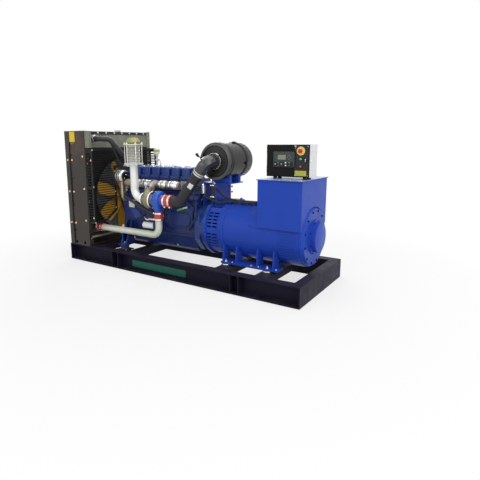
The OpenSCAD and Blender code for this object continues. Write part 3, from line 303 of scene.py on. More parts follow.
# Each look's slot in the part's record, and its material; None where only the CAD's own nodes wear it
LOOKS = {
    "skid": ("skid_black", paint("skid_paint", (0.014, 0.012, 0.026), 0.45, 0.0, 0.2, (0.07, 0.07, 0.10),
                                 0.35, 0.05, specular=0.07)),
    "radiator": ("radiator_paint", sheet_brown()),
    "tank": ("tank_paint", paint("tank_paint", (0.200, 0.212, 0.160), 0.40, 0.0, 0.2, (0.35, 0.36, 0.30),
                                 0.3, 0.10, 0.25, 0.3)),
    "guard": ("guard_paint", paint("guard_paint", (0.014, 0.014, 0.014), 0.45, 0.0, 0.15, (0.08, 0.08, 0.08),
                                   0.3, 0.05, specular=0.12)),
    "machine": ("machine_blue", paint("machine_blue", (0.019, 0.064, 0.43), 0.34, 0.0, 0.10,
                                      (0.08, 0.16, 0.56), 0.3, 0.02, 0.04, 0.12)),
    "engine": ("engine_blue", cast_paint("engine_blue", (0.006, 0.022, 0.130))),
    "cover": ("cover_blue", cast_paint("cover_blue", (0.010, 0.042, 0.22), 0.32, 0.25)),
    "comp": ("cover_blue", cast_paint("compressor_blue", (0.022, 0.090, 0.48), 0.28, 0.2)),
    "lid": ("lid_grey", paint("lid_grey", (0.34, 0.42, 0.60), 0.35, 0.2, 0.1)),
    "white": ("panel_white", paint("cabinet_white", (0.72, 0.73, 0.76), 0.38, 0.15, 0.15, (0.5, 0.5, 0.5),
                                   0.1, 0.03, 0.02)),
    "enamel": ("filter_white", paint("filter_enamel", (0.86, 0.86, 0.90), 0.28, 0.3, 0.05, (0.5, 0.5, 0.5),
                                     0.1, 0.05, 0.04)),
    "panel": ("panel_black", paint("panel_black", (0.010, 0.010, 0.009), 0.45, 0.0, 0.25, (0.05, 0.05, 0.05),
                                   0.2, 0.03, specular=0.08)),
    "switch": ("panel_black", paint("switch_panel_grey", (0.022, 0.023, 0.022), 0.45, 0.0, 0.2,
                                    (0.05, 0.05, 0.05), 0.2, 0.03, specular=0.2)),
    "zinc": ("steel_grey", metal("zinc_bolts", (0.66, 0.65, 0.60), 0.32)),
    "brass": ("steel_grey", metal("gilt_bolts", (0.80, 0.60, 0.38), 0.35)),
    "steel": ("steel_grey", metal("machined_steel", (0.50, 0.50, 0.51), 0.28)),
    "clamp": ("bellows_steel", metal("clamp_steel", (0.78, 0.78, 0.76), 0.22, 0.06)),
    "chrome": ("chrome", metal("chrome", (0.80, 0.80, 0.80), 0.10, 0.02, 0.02)),
    "foil": ("manifold_iron", metal("heat_foil", (0.74, 0.73, 0.70), 0.30, 0.5, 0.10, 60)),
    "aluminium": ("cast_aluminium", casting("die_cast_aluminium", (0.62, 0.62, 0.60), 0.42, 0.9, 0.25)),
    "manifold": ("manifold_iron", casting("manifold_iron", (0.42, 0.40, 0.39), 0.50, 0.7, 0.6,
                                          (0.16, 0.14, 0.13))),
    "turbine": ("turbine_iron", casting("turbine_iron", (0.20, 0.18, 0.115), 0.55, 0.55, 0.6,
                                        (0.34, 0.32, 0.26))),
    "dome": ("turbine_iron", casting("cap_casting", (0.30, 0.29, 0.12), 0.45, 0.5, 0.4)),
    "rubber": ("rubber_black", rubber("hose_rubber", (0.020, 0.018, 0.021), 0.36)),
    "mount": ("rubber_black", rubber("mount_rubber", (0.018, 0.018, 0.019), 0.6)),
    "cable": ("rubber_black", rubber("cable_jacket", (0.014, 0.014, 0.016), 0.42)),
    "plastic": ("plastic_black", plastic("filter_plastic", (0.011, 0.011, 0.010), 0.30, 0.12)),
    "elbow": ("plastic_black", plastic("elbow_plastic", (0.034, 0.031, 0.038), 0.20, 0.08, 0.7)),
    "duct": ("plastic_black", plastic("duct_plastic", (0.027, 0.025, 0.029), 0.34, 0.15, 0.25)),
    "fan": ("fan_yellow", plastic("fan_yellow", (0.62, 0.32, 0.035), 0.38, 0.15)),
    "stop_red": ("stop_red", plastic("stop_red", (0.56, 0.012, 0.010), 0.22, 0.05)),
    "stop_yellow": ("fan_yellow", plastic("stop_yellow", (0.78, 0.60, 0.16), 0.3, 0.05)),
    "black": ("plastic_black", plastic("moulded_black", (0.016, 0.016, 0.017), 0.34, 0.2, 0.15)),
    "slate": ("plastic_black", plastic("controller_slate", (0.045, 0.056, 0.060), 0.34, 0.1, 0.15)),
    "silicone": ("silicone_red", silicone()),
    "pipe": ("pipe_silver", lagged("pipe_silver", (0.64, 0.65, 0.56), (0.52, 0.55, 0.36))),
    "exhaust": ("pipe_silver", lagged("exhaust_silver", (0.82, 0.82, 0.80), (0.74, 0.74, 0.68))),
    "bellows": ("bellows_steel", lagged("bellows_steel", (0.66, 0.67, 0.65), (0.50, 0.50, 0.42), 0.34)),
    "core": (None, finned("core_fins", (0.24, 0.27, 0.28))),
    "cooler_fins": (None, finned("cooler_fins", (0.16, 0.165, 0.17))),
    "belt": (None, ribbed_belt()),
    "screen": ("plastic_black", glow("olive_screen", (0.17, 0.165, 0.10), 0.15)),
    "lamp_green": ("plastic_black", glow("lamp_green", (0.02, 0.32, 0.16), 0.25)),
    "lamp_red": ("stop_red", glow("lamp_red", (0.32, 0.01, 0.02), 0.2)),
}
for look, slot, color in (
        ("plate_yellow", "fan_yellow", (0.78, 0.58, 0.02)), ("plate_lime", "fan_yellow", (0.46, 0.46, 0.06)),
        ("plate_green", "cover_blue", (0.003, 0.115, 0.080)),
        ("plate_white", "panel_white", (0.72, 0.73, 0.68)),
        ("key_pale", "panel_white", (0.34, 0.36, 0.38)), ("key_dull", "plastic_black", (0.15, 0.17, 0.18)),
        ("key_green", "tank_paint", (0.02, 0.30, 0.20)), ("key_red", "stop_red", (0.38, 0.03, 0.03)),
        ("mark_green", "tank_paint", (0.16, 0.50, 0.08))):
    LOOKS[look] = (slot, bare_plate(look, color))

NODE_LOOKS = {
    "skid": "skid_beam_near skid_beam_far skid_end_beams skid_cross_beams",
    "mount": "vibration_mounts",
    "radiator": "radiator_side_near radiator_side_far radiator_base",
    "tank": "radiator_top_tank",
    "core": "radiator_core",
    "cooler_fins": "charge_air_cooler",
    "guard": "fan_shroud fan_guard_near fan_guard_far",
    "fan": "fan",
    "belt": "drive_belt",
    "steel": "crank_pulley charging_pulley",
    "aluminium": "charging_alternator injection_pump",
    "engine": "fan_bearing engine_block oil_pan timing_cover cylinder_heads intake_manifold "
              "thermostat_housing oil_cooler_cover engine_mounts",
    "cover": "valve_covers flywheel_housing",
    "manifold": "exhaust_manifold",
    "turbine": "turbine_housing",
    "comp": "compressor_housing",
    "silicone": "silicone_hoses",
    "pipe": "charge_pipes",
    "exhaust": "exhaust_pipe",
    "bellows": "exhaust_bellows",
    "rubber": "coolant_hose air_pipe",
    "elbow": "air_filter_elbow",
    "plastic": "air_filter",
    "machine": "air_filter_bracket alternator_drive_end alternator_frame alternator_rear "
               "alternator_end_bracket terminal_box",
    "enamel": "oil_filter",
    "black": "starter_motor",
    "white": "control_box",
    "panel": "control_door",
    "stop_red": "emergency_stop",
    "chrome": "key_switch",
    "cable": "cable_harness",
}
for look, names in NODE_LOOKS.items():
    for name in names.split():
        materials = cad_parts[name].data.materials
        materials.clear()
        materials.append(LOOKS[look][1])

# Mesh helpers

UP, DOWN = (0, 0, 1), (0, 0, -1)
REARWARD, FORWARD = (1, 0, 0), (-1, 0, 0)
NEARWARD, FARWARD = (0, -1, 0), (0, 1, 0)
# The near side's and the far side's sign on Y
SIDES = (-1, 1)
# How far a bolt's and a screw's head reach into the face below
BOLT_SUNK, SCREW_SUNK = 0.8, 0.5


def square(axis):
    """Two directions square to an axis, and the axis, all of unit length."""
    w = Vector(axis).normalized()
    hint = Vector(REARWARD) if abs(w.z) > 0.9 else Vector(UP)
    u = (hint - w * hint.dot(w)).normalized()
    return u, w.cross(u), w


def seat_at(place, axis, angle=0.0):
    """A placement whose Z is the axis and whose X points out at an angle."""
    u, v, w = square(axis)
    x = u * math.cos(angle) + v * math.sin(angle)
    return Matrix.Translation(Vector(place)) @ Matrix((x, w.cross(x), w)).transposed().to_4x4()


def level_at(x, y, z):
    return Matrix.Translation((x, y, z))


def polar(cx, cy, r, degrees):
    a = math.radians(degrees)
    return cx + r * math.cos(a), cy + r * math.sin(a)


def ring_of(count, cx, cy, r, start=0.0):
    """Places spaced evenly round a circle, the first at a start in degrees."""
    return [polar(cx, cy, r, start + 360 / count * i) for i in range(count)]


def spokes(count, place, axis):
    """Placements on an axis, turned evenly round it."""
    return [seat_at(place, axis, 2 * math.pi * i / count) for i in range(count)]


def off(place, x, y, z):
    """A place moved along the three axes."""
    return Vector(place) + Vector((x, y, z))


def four(a, b):
    """The four corners at plus and minus a and b."""
    return [(x, y) for x in (-a, a) for y in (-b, b)]


def shifted(x, z, *points):
    """Points given from a station's X and Z."""
    return [Vector((x + px, y, z + pz)) for px, y, pz in points]


def round_rect(w, h, r, steps=5):
    """Outline of a centred rectangle with round corners."""
    points = []
    for cx, cy, start in ((w / 2 - r, h / 2 - r, 0), (r - w / 2, h / 2 - r, 90),
                          (r - w / 2, r - h / 2, 180), (w / 2 - r, r - h / 2, 270)):
        points += [polar(cx, cy, r, start + 90 * k / steps) for k in range(steps + 1)]
    return points


def bent(points, bend, steps):
    """Corner points with each corner rounded to an arc."""
    points = [Vector(p) for p in points]
    out = [points[0]]
    for a, b, c in zip(points, points[1:], points[2:]):
        p, q = (a - b).normalized(), (c - b).normalized()
        turn = math.pi - p.angle(q)
        reach = min(bend * math.tan(turn / 2), 0.49 * (a - b).length, 0.49 * (c - b).length)
        radius = reach / math.tan(turn / 2)
        centre = b + (p + q).normalized() * radius / math.cos(turn / 2)
        x = (b + p * reach - centre).normalized()
        out += [centre + (x * math.cos(turn * k / steps) - p * math.sin(turn * k / steps)) * radius
                for k in range(steps + 1)]
    return out + [points[-1]]


def flow(points, steps=8):
    """A smooth curve through points."""
    knots = [Vector(p) for p in points]
    knots = [2 * knots[0] - knots[1]] + knots + [2 * knots[-1] - knots[-2]]
    out = []
    for a, b, c, d in zip(knots, knots[1:], knots[2:], knots[3:]):
        for k in range(steps):
            t = k / steps
            out.append(0.5 * (2 * b + (c - a) * t + (2 * a - 5 * b + 4 * c - d) * t * t
                              + (3 * b - a - 3 * c + d) * t ** 3))
    return out + [knots[-2]]


def evenly(path, gap):
    """The same line with points a set gap apart."""
    out, left = [path[0]], gap
    for a, b in zip(path, path[1:]):
        rest = (b - a).length
        while rest >= left > 0:
            a = a + (b - a) * (left / rest)
            out.append(a)
            rest = (b - a).length
            left = gap
        left -= rest
    return out


class Build:
    """Collects shapes of one finish into one mesh piece."""

    def __init__(self):
        self.verts, self.faces = [], []

    def add(self, verts, faces):
        base = len(self.verts)
        self.verts += verts
        self.faces += [[base + i for i in face] for face in faces]
        return self

    def rings(self, rings, closed=False):
        """Skins rings of points; a ring of one point is a pole, and open ends are capped."""
        verts, spans = [], []
        for ring in rings:
            spans.append(range(len(verts), len(verts) + len(ring)))
            verts += ring
        pairs = list(zip(spans, spans[1:])) + ([(spans[-1], spans[0])] if closed else [])
        faces = []
        for low, high in pairs:
            count = max(len(low), len(high))
            for i in range(count):
                j = (i + 1) % count
                quad = [low[i % len(low)], low[j % len(low)], high[j % len(high)], high[i % len(high)]]
                faces.append(list(dict.fromkeys(quad)))
        if not closed:
            faces += [list(s) for s in (spans[0], spans[-1]) if len(s) > 2]
        return self.add(verts, faces)

    def lathe(self, place, axis, profile, sides, turn=0.0, closed=False):
        """Turns (distance, radius) pairs about an axis."""
        u, v, w = square(axis)
        place = Vector(place)
        angles = [turn + 2 * math.pi * i / sides for i in range(sides)]
        rings = []
        for t, r in profile:
            if r == 0:
                rings.append([place + w * t])
            else:
                rings.append([place + w * t + (u * math.cos(a) + v * math.sin(a)) * r for a in angles])
        return self.rings(rings, closed)

    def hoop(self, place, axis, r, width, thick):
        """A band round an axis, centred on its place."""
        h = width / 2
        c = thick * 0.3
        return self.lathe(place, axis, [(-h, r), (-h, r + thick - c), (-h + c, r + thick), (h - c, r + thick),
                                        (h, r + thick - c), (h, r)], 40, closed=True)

    def tube(self, path, radius, sides):
        """A round section carried along a path without twist."""
        path = [Vector(p) for p in path]
        last = len(path) - 1
        ways = [(path[min(i + 1, last)] - path[max(i - 1, 0)]).normalized() for i in range(last + 1)]
        u = square(ways[0])[0]
        rings = []
        for i, (p, t) in enumerate(zip(path, ways)):
            u = (u - t * u.dot(t)).normalized()
            v = t.cross(u)
            r = radius(i / last) if callable(radius) else radius
            angles = [2 * math.pi * k / sides for k in range(sides)]
            rings.append([p + (u * math.cos(a) + v * math.sin(a)) * r for a in angles])
        return self.rings(rings)

    def block(self, a, b, bevel, steps=1, at=None):
        """A box between two corners with its edges rounded."""
        a, b = Vector(a), Vector(b)
        bm = bmesh.new()
        bmesh.ops.create_cube(bm, size=1.0)
        for v in bm.verts:
            v.co = (a + b) / 2 + Vector(s * c for s, c in zip(b - a, v.co))
        width = min(bevel, 0.45 * min(abs(s) for s in b - a))
        bmesh.ops.bevel(bm, geom=bm.edges[:], offset=width, segments=steps, profile=0.5, affect="EDGES")
        if at is not None:
            bm.transform(at)
        bm.verts.index_update()
        self.add([v.co.copy() for v in bm.verts], [[v.index for v in f.verts] for f in bm.faces])
        bm.free()
        return self

    def pad(self, at, w, h, thick, r, edge, steps=1):
        """A plate with round corners and a rounded upper edge, in a placement's XY."""
        levels = [(0, 0)]
        for k in range(steps + 1):
            a = math.pi / 2 * k / steps
            levels.append((thick - edge + edge * math.sin(a), edge * (1 - math.cos(a))))
        return self.rings([[at @ Vector((x, y, z)) for x, y in
                            round_rect(w - 2 * inset, h - 2 * inset, max(r - inset, 0.4))]
                           for z, inset in levels])

    def slab(self, outline, offset):
        """A flat outline of points, thickened."""
        outline, offset = [Vector(p) for p in outline], Vector(offset)
        return self.rings([outline, [p + offset for p in outline]])

    def bolt(self, place, axis, r, washer=True, nut=False):
        """A hexagon head on a washer, or a nut with its thread's end."""
        w = Vector(axis).normalized()
        place = Vector(place) - w * BOLT_SUNK
        if washer:
            self.lathe(place, axis, [(0, r * 1.5), (r * 0.22, r * 1.5), (r * 0.32, r * 1.35)], 18)
            place = place + w * r * 0.3
        self.lathe(place, axis, [(0, r), (r * 0.6, r), (r * 0.8, r * 0.8)], 6, rng.uniform(0, 1))
        if nut:
            self.lathe(place, axis, [(0, r * 0.5), (r * 1.5, r * 0.5), (r * 1.65, r * 0.4)], 12)
        return self

    def screw(self, place, axis, r):
        """A round low head."""
        place = Vector(place) - Vector(axis).normalized() * SCREW_SUNK
        return self.lathe(place, axis, [(0, r), (r * 0.3, r), (r * 0.55, r * 0.75), (r * 0.62, r * 0.35)], 16)

    def clamp(self, place, axis, r, width, degrees):
        """A worm-drive band with its screw housing."""
        self.hoop(place, axis, r, width, 1.8)
        for s in (-1, 1):
            u = Vector(axis).normalized() * s * width / 2
            lip = [(-0.6, r), (-0.6, r + 3.2), (0.6, r + 3.2), (0.6, r)]
            self.lathe(Vector(place) + u, axis, lip, 40, closed=True)
        at = seat_at(place, axis, math.radians(degrees))
        self.block((r - 1, -16, -width / 2), (r + 11, 16, width / 2), 3, 2, at)
        return self.lathe(at @ Vector((r + 6, 16, 0)), at.to_3x3() @ Vector(FARWARD),
                          [(0, 5.5), (6, 5.5), (7, 4)], 6)

    def done(self, name, look, body="root", replaces=(), crease=32):
        slot, material = LOOKS[look]
        mesh = bpy.data.meshes.new(name)
        mesh.from_pydata([tuple(v * MM) for v in self.verts], [], self.faces)
        bm = bmesh.new()
        bm.from_mesh(mesh)
        bmesh.ops.recalc_face_normals(bm, faces=bm.faces[:])
        bm.to_mesh(mesh)
        bm.free()
        mesh.polygons.foreach_set("use_smooth", [True] * len(mesh.polygons))
        mesh.set_sharp_from_angle(angle=math.radians(crease))
        mesh.materials.append(material)
        piece = bpy.data.objects.new(name, mesh)
        scene.collection.objects.link(piece)
        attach(piece, body)
        if replaces:
            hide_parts(*replaces)


def span(name):
    """A CAD node's box, in millimetres."""
    lo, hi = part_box(name)
    return Vector(lo) / MM, Vector(hi) / MM


# Stations, taken from the CAD frame

block0, block1 = span("engine_block")
# Heights of crankshaft and fan, and the seats of heads and covers
AXIS = block1.z - 363
FAN_Z = AXIS + 263
DECK, HEAD = block1.z, block1.z + 146
X0, X1 = block0.x, block1.x
# The timing cover's face and the block's half width
FRONT = X0 - 40
SIDE = 250
CYLINDERS = [X0 + 110 + 150 * i for i in range(6)]
# Bell housing, drive end, stator frame and end bracket, from front to rear
BELL = X1 + 135
RING = BELL + 178
BARREL = RING + 52
BARREL_END = BARREL + 600
REAR = BARREL_END + 230
# The turbocharger's axis, its two housings, the exhaust stack and the charge pipes
TURBO = Vector((0, -385, AXIS + 283))
TURBINE_X = X1 - 545
COMP_X = TURBINE_X + 144
TURBINE, COMPRESSOR = off(TURBO, TURBINE_X, 0, 0), off(TURBO, COMP_X, 0, 0)
NECK_X = COMP_X + 92
EXHAUST_X = TURBINE_X - 230
BELLOWS_Z = AXIS + 666
PIPE_Y, PIPE_Z = 410, AXIS - 107
FILTER = Vector((BELL + 97, -250, AXIS + 715))
# Engine mounts and alternator feet
MOUNT_X, MOUNT_Y = X0 + 126, 385
FOOT_MOUNTS, FOOT_Y = (BARREL + 56, BARREL_END - 74), 313

beam0, beam1 = span("skid_beam_near")
rad0, rad1 = span("radiator_side_near")
guard1 = span("fan_guard_near")[1]
box0, box1 = span("terminal_box")
case0, case1 = span("control_box")
door0 = span("control_door")[0]
# The door's lower left corner
PANEL_X, PANEL_Z = case0.x + 9.5, case1.z - 300

# Skid

b = Build()
for side in SIDES:
    y = side * MOUNT_Y
    b.bolt((MOUNT_X, y, 262), UP, 13, nut=True)
    for dx in (-45, 45):
        b.bolt((MOUNT_X + dx * 1.35, y + side * 45, 200), UP, 7)
    for x in FOOT_MOUNTS:
        b.bolt((x, side * FOOT_Y, 240), UP, 13, nut=True)
    for x in (rad0.x + 60, rad1.x - 60):
        b.bolt((x, side * 520, 205), UP, 9)
b.done("skid_mount_nuts", "zinc")

mounts = Build()
front_caps = Build()
foot_caps = Build()
for side in SIDES:
    for x, y, top, r, caps in ((MOUNT_X, MOUNT_Y, 250, 52, front_caps),
                               (FOOT_MOUNTS[0], FOOT_Y, 222, 44, foot_caps),
                               (FOOT_MOUNTS[1], FOOT_Y, 222, 44, foot_caps)):
        tall = top - 200
        mounts.lathe((x, side * y, 200), UP,
                     [(0, r + 10), (4, r + 10), (5, r), (tall * 0.35, r * 0.9), (tall * 0.6, r * 0.86),
                      (tall * 0.8, r * 0.9), (tall - 5, r * 0.93)], 40)
        caps.lathe((x, side * y, top - 16), UP,
                   [(0, r * 1.02), (8, r * 1.06), (12, r * 1.02), (16, r * 0.82)], 40)
mounts.done("mount_rubbers", "mount", replaces=["vibration_mounts"])
front_caps.done("mount_caps_front", "machine")
foot_caps.done("mount_caps_feet", "zinc")

x0, x1, z0, z1 = -565, 220, 28, 106
b = Build().pad(seat_at(((x0 + x1) / 2, -463, (z0 + z1) / 2), NEARWARD, math.pi / 2), x1 - x0, z1 - z0, 1.5,
                12, 0.5)
b.done("beam_bare_plate", "plate_green")

b = Build()
for side in SIDES:
    for x in (beam0.x + 10, beam1.x - 10):
        ends = [(x, side * 462, 12), (x, side * 462, 187)]
        b.tube(evenly([Vector(p) for p in ends], 11), lambda t: 4.5 + 0.6 * math.sin(t * 90), 8)
    for lo, hi in ((rad1.x - 80, rad1.x + 70), (X0 + 240, X0 + 380),
                   (FOOT_MOUNTS[0] - 46, FOOT_MOUNTS[0] + 104), (FOOT_MOUNTS[1] - 61, FOOT_MOUNTS[1] + 89)):
        path = evenly([Vector((lo, side * 452, 199.5)), Vector((hi, side * 452, 199.5))], 10)
        b.tube(path, lambda t: 3.5 + 0.5 * math.sin(t * 80), 8)
b.done("beam_welds", "skid")

# Radiator

b = Build()
for side in SIDES:
    for dx, rise in ((36, 0), (116, 0), (311, 45)):
        for z in (1240, 857, 471):
            b.bolt((rad0.x + dx, side * 556, z + rise), (0, side, 0), 8.5)
    b.bolt((guard1.x - 12, side * 554, 1242), (0, side, 0), 7.5)
    b.bolt((guard1.x - 12, side * 554, 560), (0, side, 0), 7.5)
    for z in (300, 750, 1200, 1500):
        b.bolt((rad1.x, side * 527, z), REARWARD, 6.5)
b.done("radiator_bolts", "brass")

tag = seat_at((rad0.x + 142.5, -556.5, 1516), NEARWARD, math.pi / 2)
Build().pad(tag, 93, 118, 2.2, 5, 0.6).done("radiator_bare_tag", "plate_yellow")
b = Build().tube(flow([tag @ Vector((-12, 52, 3)), tag @ Vector((-22, 75, 4)), tag @ Vector((4, 86, 4)),
                       tag @ Vector((22, 74, 4)), tag @ Vector((12, 52, 3))]), 1.2, 8)
b.done("radiator_tag_wire", "zinc")

b = Build()
lead_x = rad0.x + 76
b.tube(flow([(lead_x + 6, -563.5, 1452), (lead_x, -563.5, 1250), (lead_x + 4, -563.5, 860),
             (lead_x - 2, -563.5, 500), (lead_x + 4, -563.5, 300), (lead_x, -560, 205)]), 6.5, 12)
b.done("radiator_side_cable", "cable")
b = Build()
for z in (1300, 1020, 700, 380):
    b.block((lead_x - 12, -571.5, z - 7), (lead_x + 26, -556, z + 7), 2)
    b.screw((lead_x + 19, -571.2, z), NEARWARD, 5)
b.done("radiator_cable_clips", "black")

cap_at = (rad0.x + 200, 120, 1593.5)
b = Build().lathe(cap_at, UP, [(-12, 33), (0, 34), (0, 43), (9.5, 44), (12.5, 40), (12.5, 12), (14.5, 10),
                               (14.5, 0)], 40)
for k in range(2):
    b.block((-8, 40, 0), (8, 52, 6), 2, 2, seat_at(cap_at, UP, k * math.pi))
b.done("filler_cap", "zinc")

b = Build()
for side in SIDES:
    b.block((rad0.x + 92, side * 551, 1386), (rad1.x - 6, side * 545, 1398), 2)
b.block((rad1.x - 6.5, -545, 1386), (rad1.x - 2, 545, 1404), 2)
for i in range(9):
    b.bolt((rad1.x - 3, -480 + 120 * i, 1395), REARWARD, 6)
b.block((rad1.x - 2, -548, 1386), (rad1.x + 88, -545, 1580), 1)
b.block((rad1.x + 85, -548, 1386), (rad1.x + 88, -524.5, 1580), 1)
for z in (1420, 1540):
    b.bolt((rad1.x + 20, -548, z), NEARWARD, 6.5)
b.block((rad1.x - 1, 492, 1180), (rad1.x + 3, 557, 1588), 1)
b.done("tank_flange", "tank")
Build().block((rad1.x - 1.5, -543.5, 1546), (rad1.x + 2.5, 490.5, 1580), 1).done("tank_top_band", "mount")
b = Build()
for i in range(8):
    b.bolt((rad1.x + 2.5, -475 + 130 * i, 1563), REARWARD, 7.5)
b.done("tank_band_bolts", "zinc")
b = Build().block((rad1.x + 21.5, -532, AXIS - 233), (rad1.x + 24, 532, AXIS - 207), 1)
b.done("tie_bar_face", "tank")

# Fan guard and belt drive

b = Build()
for side in SIDES:
    gap = [(guard1.x - 2, side * y, z) for y, z in ((390, 490), (190, 620), (190, 1140), (0, 1140))]
    b.tube(bent(gap, 10, 3), 6.5, 10)
    b.tube([(guard1.x - 2, side * 552, 492), (guard1.x - 2, side * 552, 1370)], 4, 8)
b.done("guard_edging", "mount")

b = Build()
for side in SIDES:
    for y, z in ((205, 1100), (205, 850), (205, 650), (540, 1360), (540, 930), (540, 500), (60, 1155)):
        b.bolt((guard1.x, side * y, z), REARWARD, 6.5)
b.done("guard_bolts", "zinc")

b = Build()
hub_x = rad1.x + 76
for y, z in ring_of(6, 0, FAN_Z, 72, 30):
    b.bolt((hub_x, y, z), REARWARD, 7.5)
b.lathe((hub_x - 1, 0, FAN_Z), REARWARD, [(0, 58), (5, 58), (7, 55), (7, 45)], 40)
b.done("fan_hub_bolts", "zinc", body="fan")
b = Build()
for i in range(7):
    a = 25 + 360 * i / 7
    y, z = polar(0, FAN_Z, 85, 90 - a)
    b.lathe((hub_x - 40, y, z), (0, math.sin(math.radians(a)), math.cos(math.radians(a))),
            [(0, 26), (18, 24), (30, 17)], 20)
b.done("fan_blade_roots", "fan", body="fan")

charger = Vector((FRONT - 23, -270, AXIS + 513))
b = Build()
for lo, hi in ((39, 57), (69, 89)):
    b.lathe(off(charger, lo, 0, 0), REARWARD, [(0, 69), (0, 71.5), (hi - lo, 71.5), (hi - lo, 69)], 48,
            closed=True)
b.lathe(off(charger, 106, 0, 0), REARWARD,
        [(0, 50), (0, 62.5), (14, 61.5), (20, 56), (24, 42), (22, 18), (22, 0)], 40)
for y, z in ring_of(10, 0, 0, 46):
    b.block((126, y - 4, z - 4), (132, y + 4, z + 4), 1, 1, level_at(*charger))
b.done("charger_covers", "black")
b = Build()
for dy, dz in ((6, 18), (-26, -22)):
    b.bolt(off(charger, 128, dy, dz), REARWARD, 6.5, nut=True)
for y, z in ring_of(4, 0, 0, 71, 45):
    b.lathe(off(charger, 20, y, z), REARWARD, [(0, 6), (82, 6)], 12)
    b.bolt(off(charger, 100, y, z), REARWARD, 6.5, washer=False)
b.lathe(off(charger, 88, 0, 0), REARWARD, [(0, 72), (0, 76.5), (9, 76.5), (13, 74), (13, 66)], 56,
        closed=True)
b.lathe(off(charger, 56, 0, 0), REARWARD, [(0, 70), (0, 76.2), (10, 76.2), (10, 70)], 56, closed=True)
b.done("charger_rings", "clamp")
b = Build().tube(flow([off(charger, 134, 6, 18), off(charger, 165, 12, 10), off(charger, 185, 60, -60),
                       off(charger, 150, 85, -110), off(charger, 105, 85, -145)]), 5.5, 10)
b.done("charger_lead", "cable")

# Engine front

b = Build()
for y, z in ((-190, 460), (190, 460), (-195, 550), (195, 550), (-180, 660), (180, 660), (-135, 800),
             (135, 800), (-90, 855), (90, 855), (0, 855)):
    b.bolt((FRONT, y, z), FORWARD, 7)
for y, z in ((-60, FAN_Z + 40), (60, FAN_Z + 40), (-60, FAN_Z - 95), (60, FAN_Z - 95)):
    b.bolt((FRONT - 14, y, z), FORWARD, 9)
b.done("timing_bolts", "engine")

# Valve covers

covers = Build()
vents = Build()
cover_bolts = Build()
for x in CYLINDERS:
    covers.pad(level_at(x, 0, HEAD), 136, 290, 15, 28, 4, 2)
    covers.pad(level_at(x, 0, HEAD + 10), 126, 276, 110, 26, 20, 6)
    covers.pad(level_at(x + 4, 0, HEAD + 118.5), 80, 230, 6, 20, 5, 4)
    for s in (-1, 1):
        covers.lathe((x - 36, s * 116, HEAD + 90), UP, [(0, 16), (26, 15), (30, 13), (31, 9)], 24)
        cover_bolts.bolt((x - 36, s * 116, HEAD + 120.5), UP, 10.5)
        for dx in (-50, 50):
            covers.lathe((x + dx, s * 139, HEAD + 1), UP, [(0, 13), (19, 12), (21, 10)], 20)
            covers.bolt((x + dx, s * 139, HEAD + 21.5), UP, 7)
        for dz in (32, 52, 72):
            vents.block((x - 40, s * 137.8 - 2, HEAD + dz), (x + 40, s * 137.8 + 2, HEAD + dz + 6), 2, 2)
covers.done("valve_cover_shells", "cover", replaces=["valve_covers"])
vents.done("valve_cover_ribs", "cover")
cover_bolts.done("valve_cover_bolts", "clamp")

b = Build()
for x in CYLINDERS:
    for s in (-1, 1):
        for dx in (-52, 52):
            b.bolt((x + dx, s * 150, DECK + 18), (0, s, 0), 8.5)
        b.lathe((x, s * 149, DECK + 128), (0, s, 0), [(0, 13), (8, 12), (10, 9)], 20)
    b.pad(seat_at((x - 54, -150, DECK + 80), NEARWARD, 0), 70, 22, 10, 9, 3, 2)
b.done("head_bolts", "engine")

Build().pad(level_at(-500, -60, 1312), 56, 52, 62, 10, 6, 3).done("breather_canister", "plate_white")
Build().pad(level_at(-500, -60, 1338), 59, 55, 22, 11, 3, 2).done("breather_band", "plate_lime")
b = Build().lathe((-500, -60, HEAD + 118), UP,
                  [(0, 24), (10, 24), (13, 12), (60, 12), (63, 20), (84, 20), (88, 11), (120, 11), (124, 20),
                   (150, 20)], 24)
b.tube(flow([(-488, -62, 1250), (-455, -64, 1245), (-440, -66, 1215), (-438, -68, 1168)]), 7, 12)
b.done("breather_stem", "steel")
b = Build().lathe((-262, -50, HEAD + 121.5), UP, [(0, 24), (10, 24), (12, 18), (30, 10), (34, 0)], 28)
b.tube([(-255, -50, HEAD + 131), (-165, -62, HEAD + 131)], 4.5, 10)
b.done("cover_sender", "plate_white")

# Exhaust manifold

MANIFOLD_Y, MANIFOLD_Z = -270, DECK + 78
log = Build()
front_end = Build()
dark = Build()
nuts = Build()
for i, x in enumerate(CYLINDERS):
    log.tube(flow(shifted(x, MANIFOLD_Z, (0, -163, 0), (0, -200, 4), (6, -236, 2), (12, -262, 0))),
             lambda t: 29 + 6 * t, 24)
    stops = (x - (62 if i else 20), x - 30, x, x + 30, x + (62 if i < 5 else 30))
    run = log if i else front_end
    run.tube(flow([(at, MANIFOLD_Y, MANIFOLD_Z) for at in stops], 6),
             lambda t: 38.5 + 4.5 * math.sin(math.pi * t) + 1.2 * math.sin(t * 37 + i), 32)
    dark.pad(seat_at((x, -150, MANIFOLD_Z), NEARWARD, 0), 80, 92, 14, 16, 3, 2)
    for dx, dz in four(32, 26):
        nuts.bolt((x + dx, -164, MANIFOLD_Z + dz), NEARWARD, 7, nut=True)
    if i:
        joint = (x - 75, MANIFOLD_Y, MANIFOLD_Z)
        dark.lathe(joint, REARWARD, [(-13, 34), (-13, 46), (-4, 47), (-3, 43), (3, 43), (4, 47), (13, 46),
                                     (13, 34)], 36, closed=True)
        for y, z in ring_of(3, MANIFOLD_Y, MANIFOLD_Z, 45.5, 60):
            nuts.bolt((x - 61, y, z), REARWARD, 5)
flange_z = TURBO.z + 122
turn = ((-272, MANIFOLD_Z), (-320, MANIFOLD_Z - 2), (-368, MANIFOLD_Z - 12), (TURBO.y, flange_z + 10))
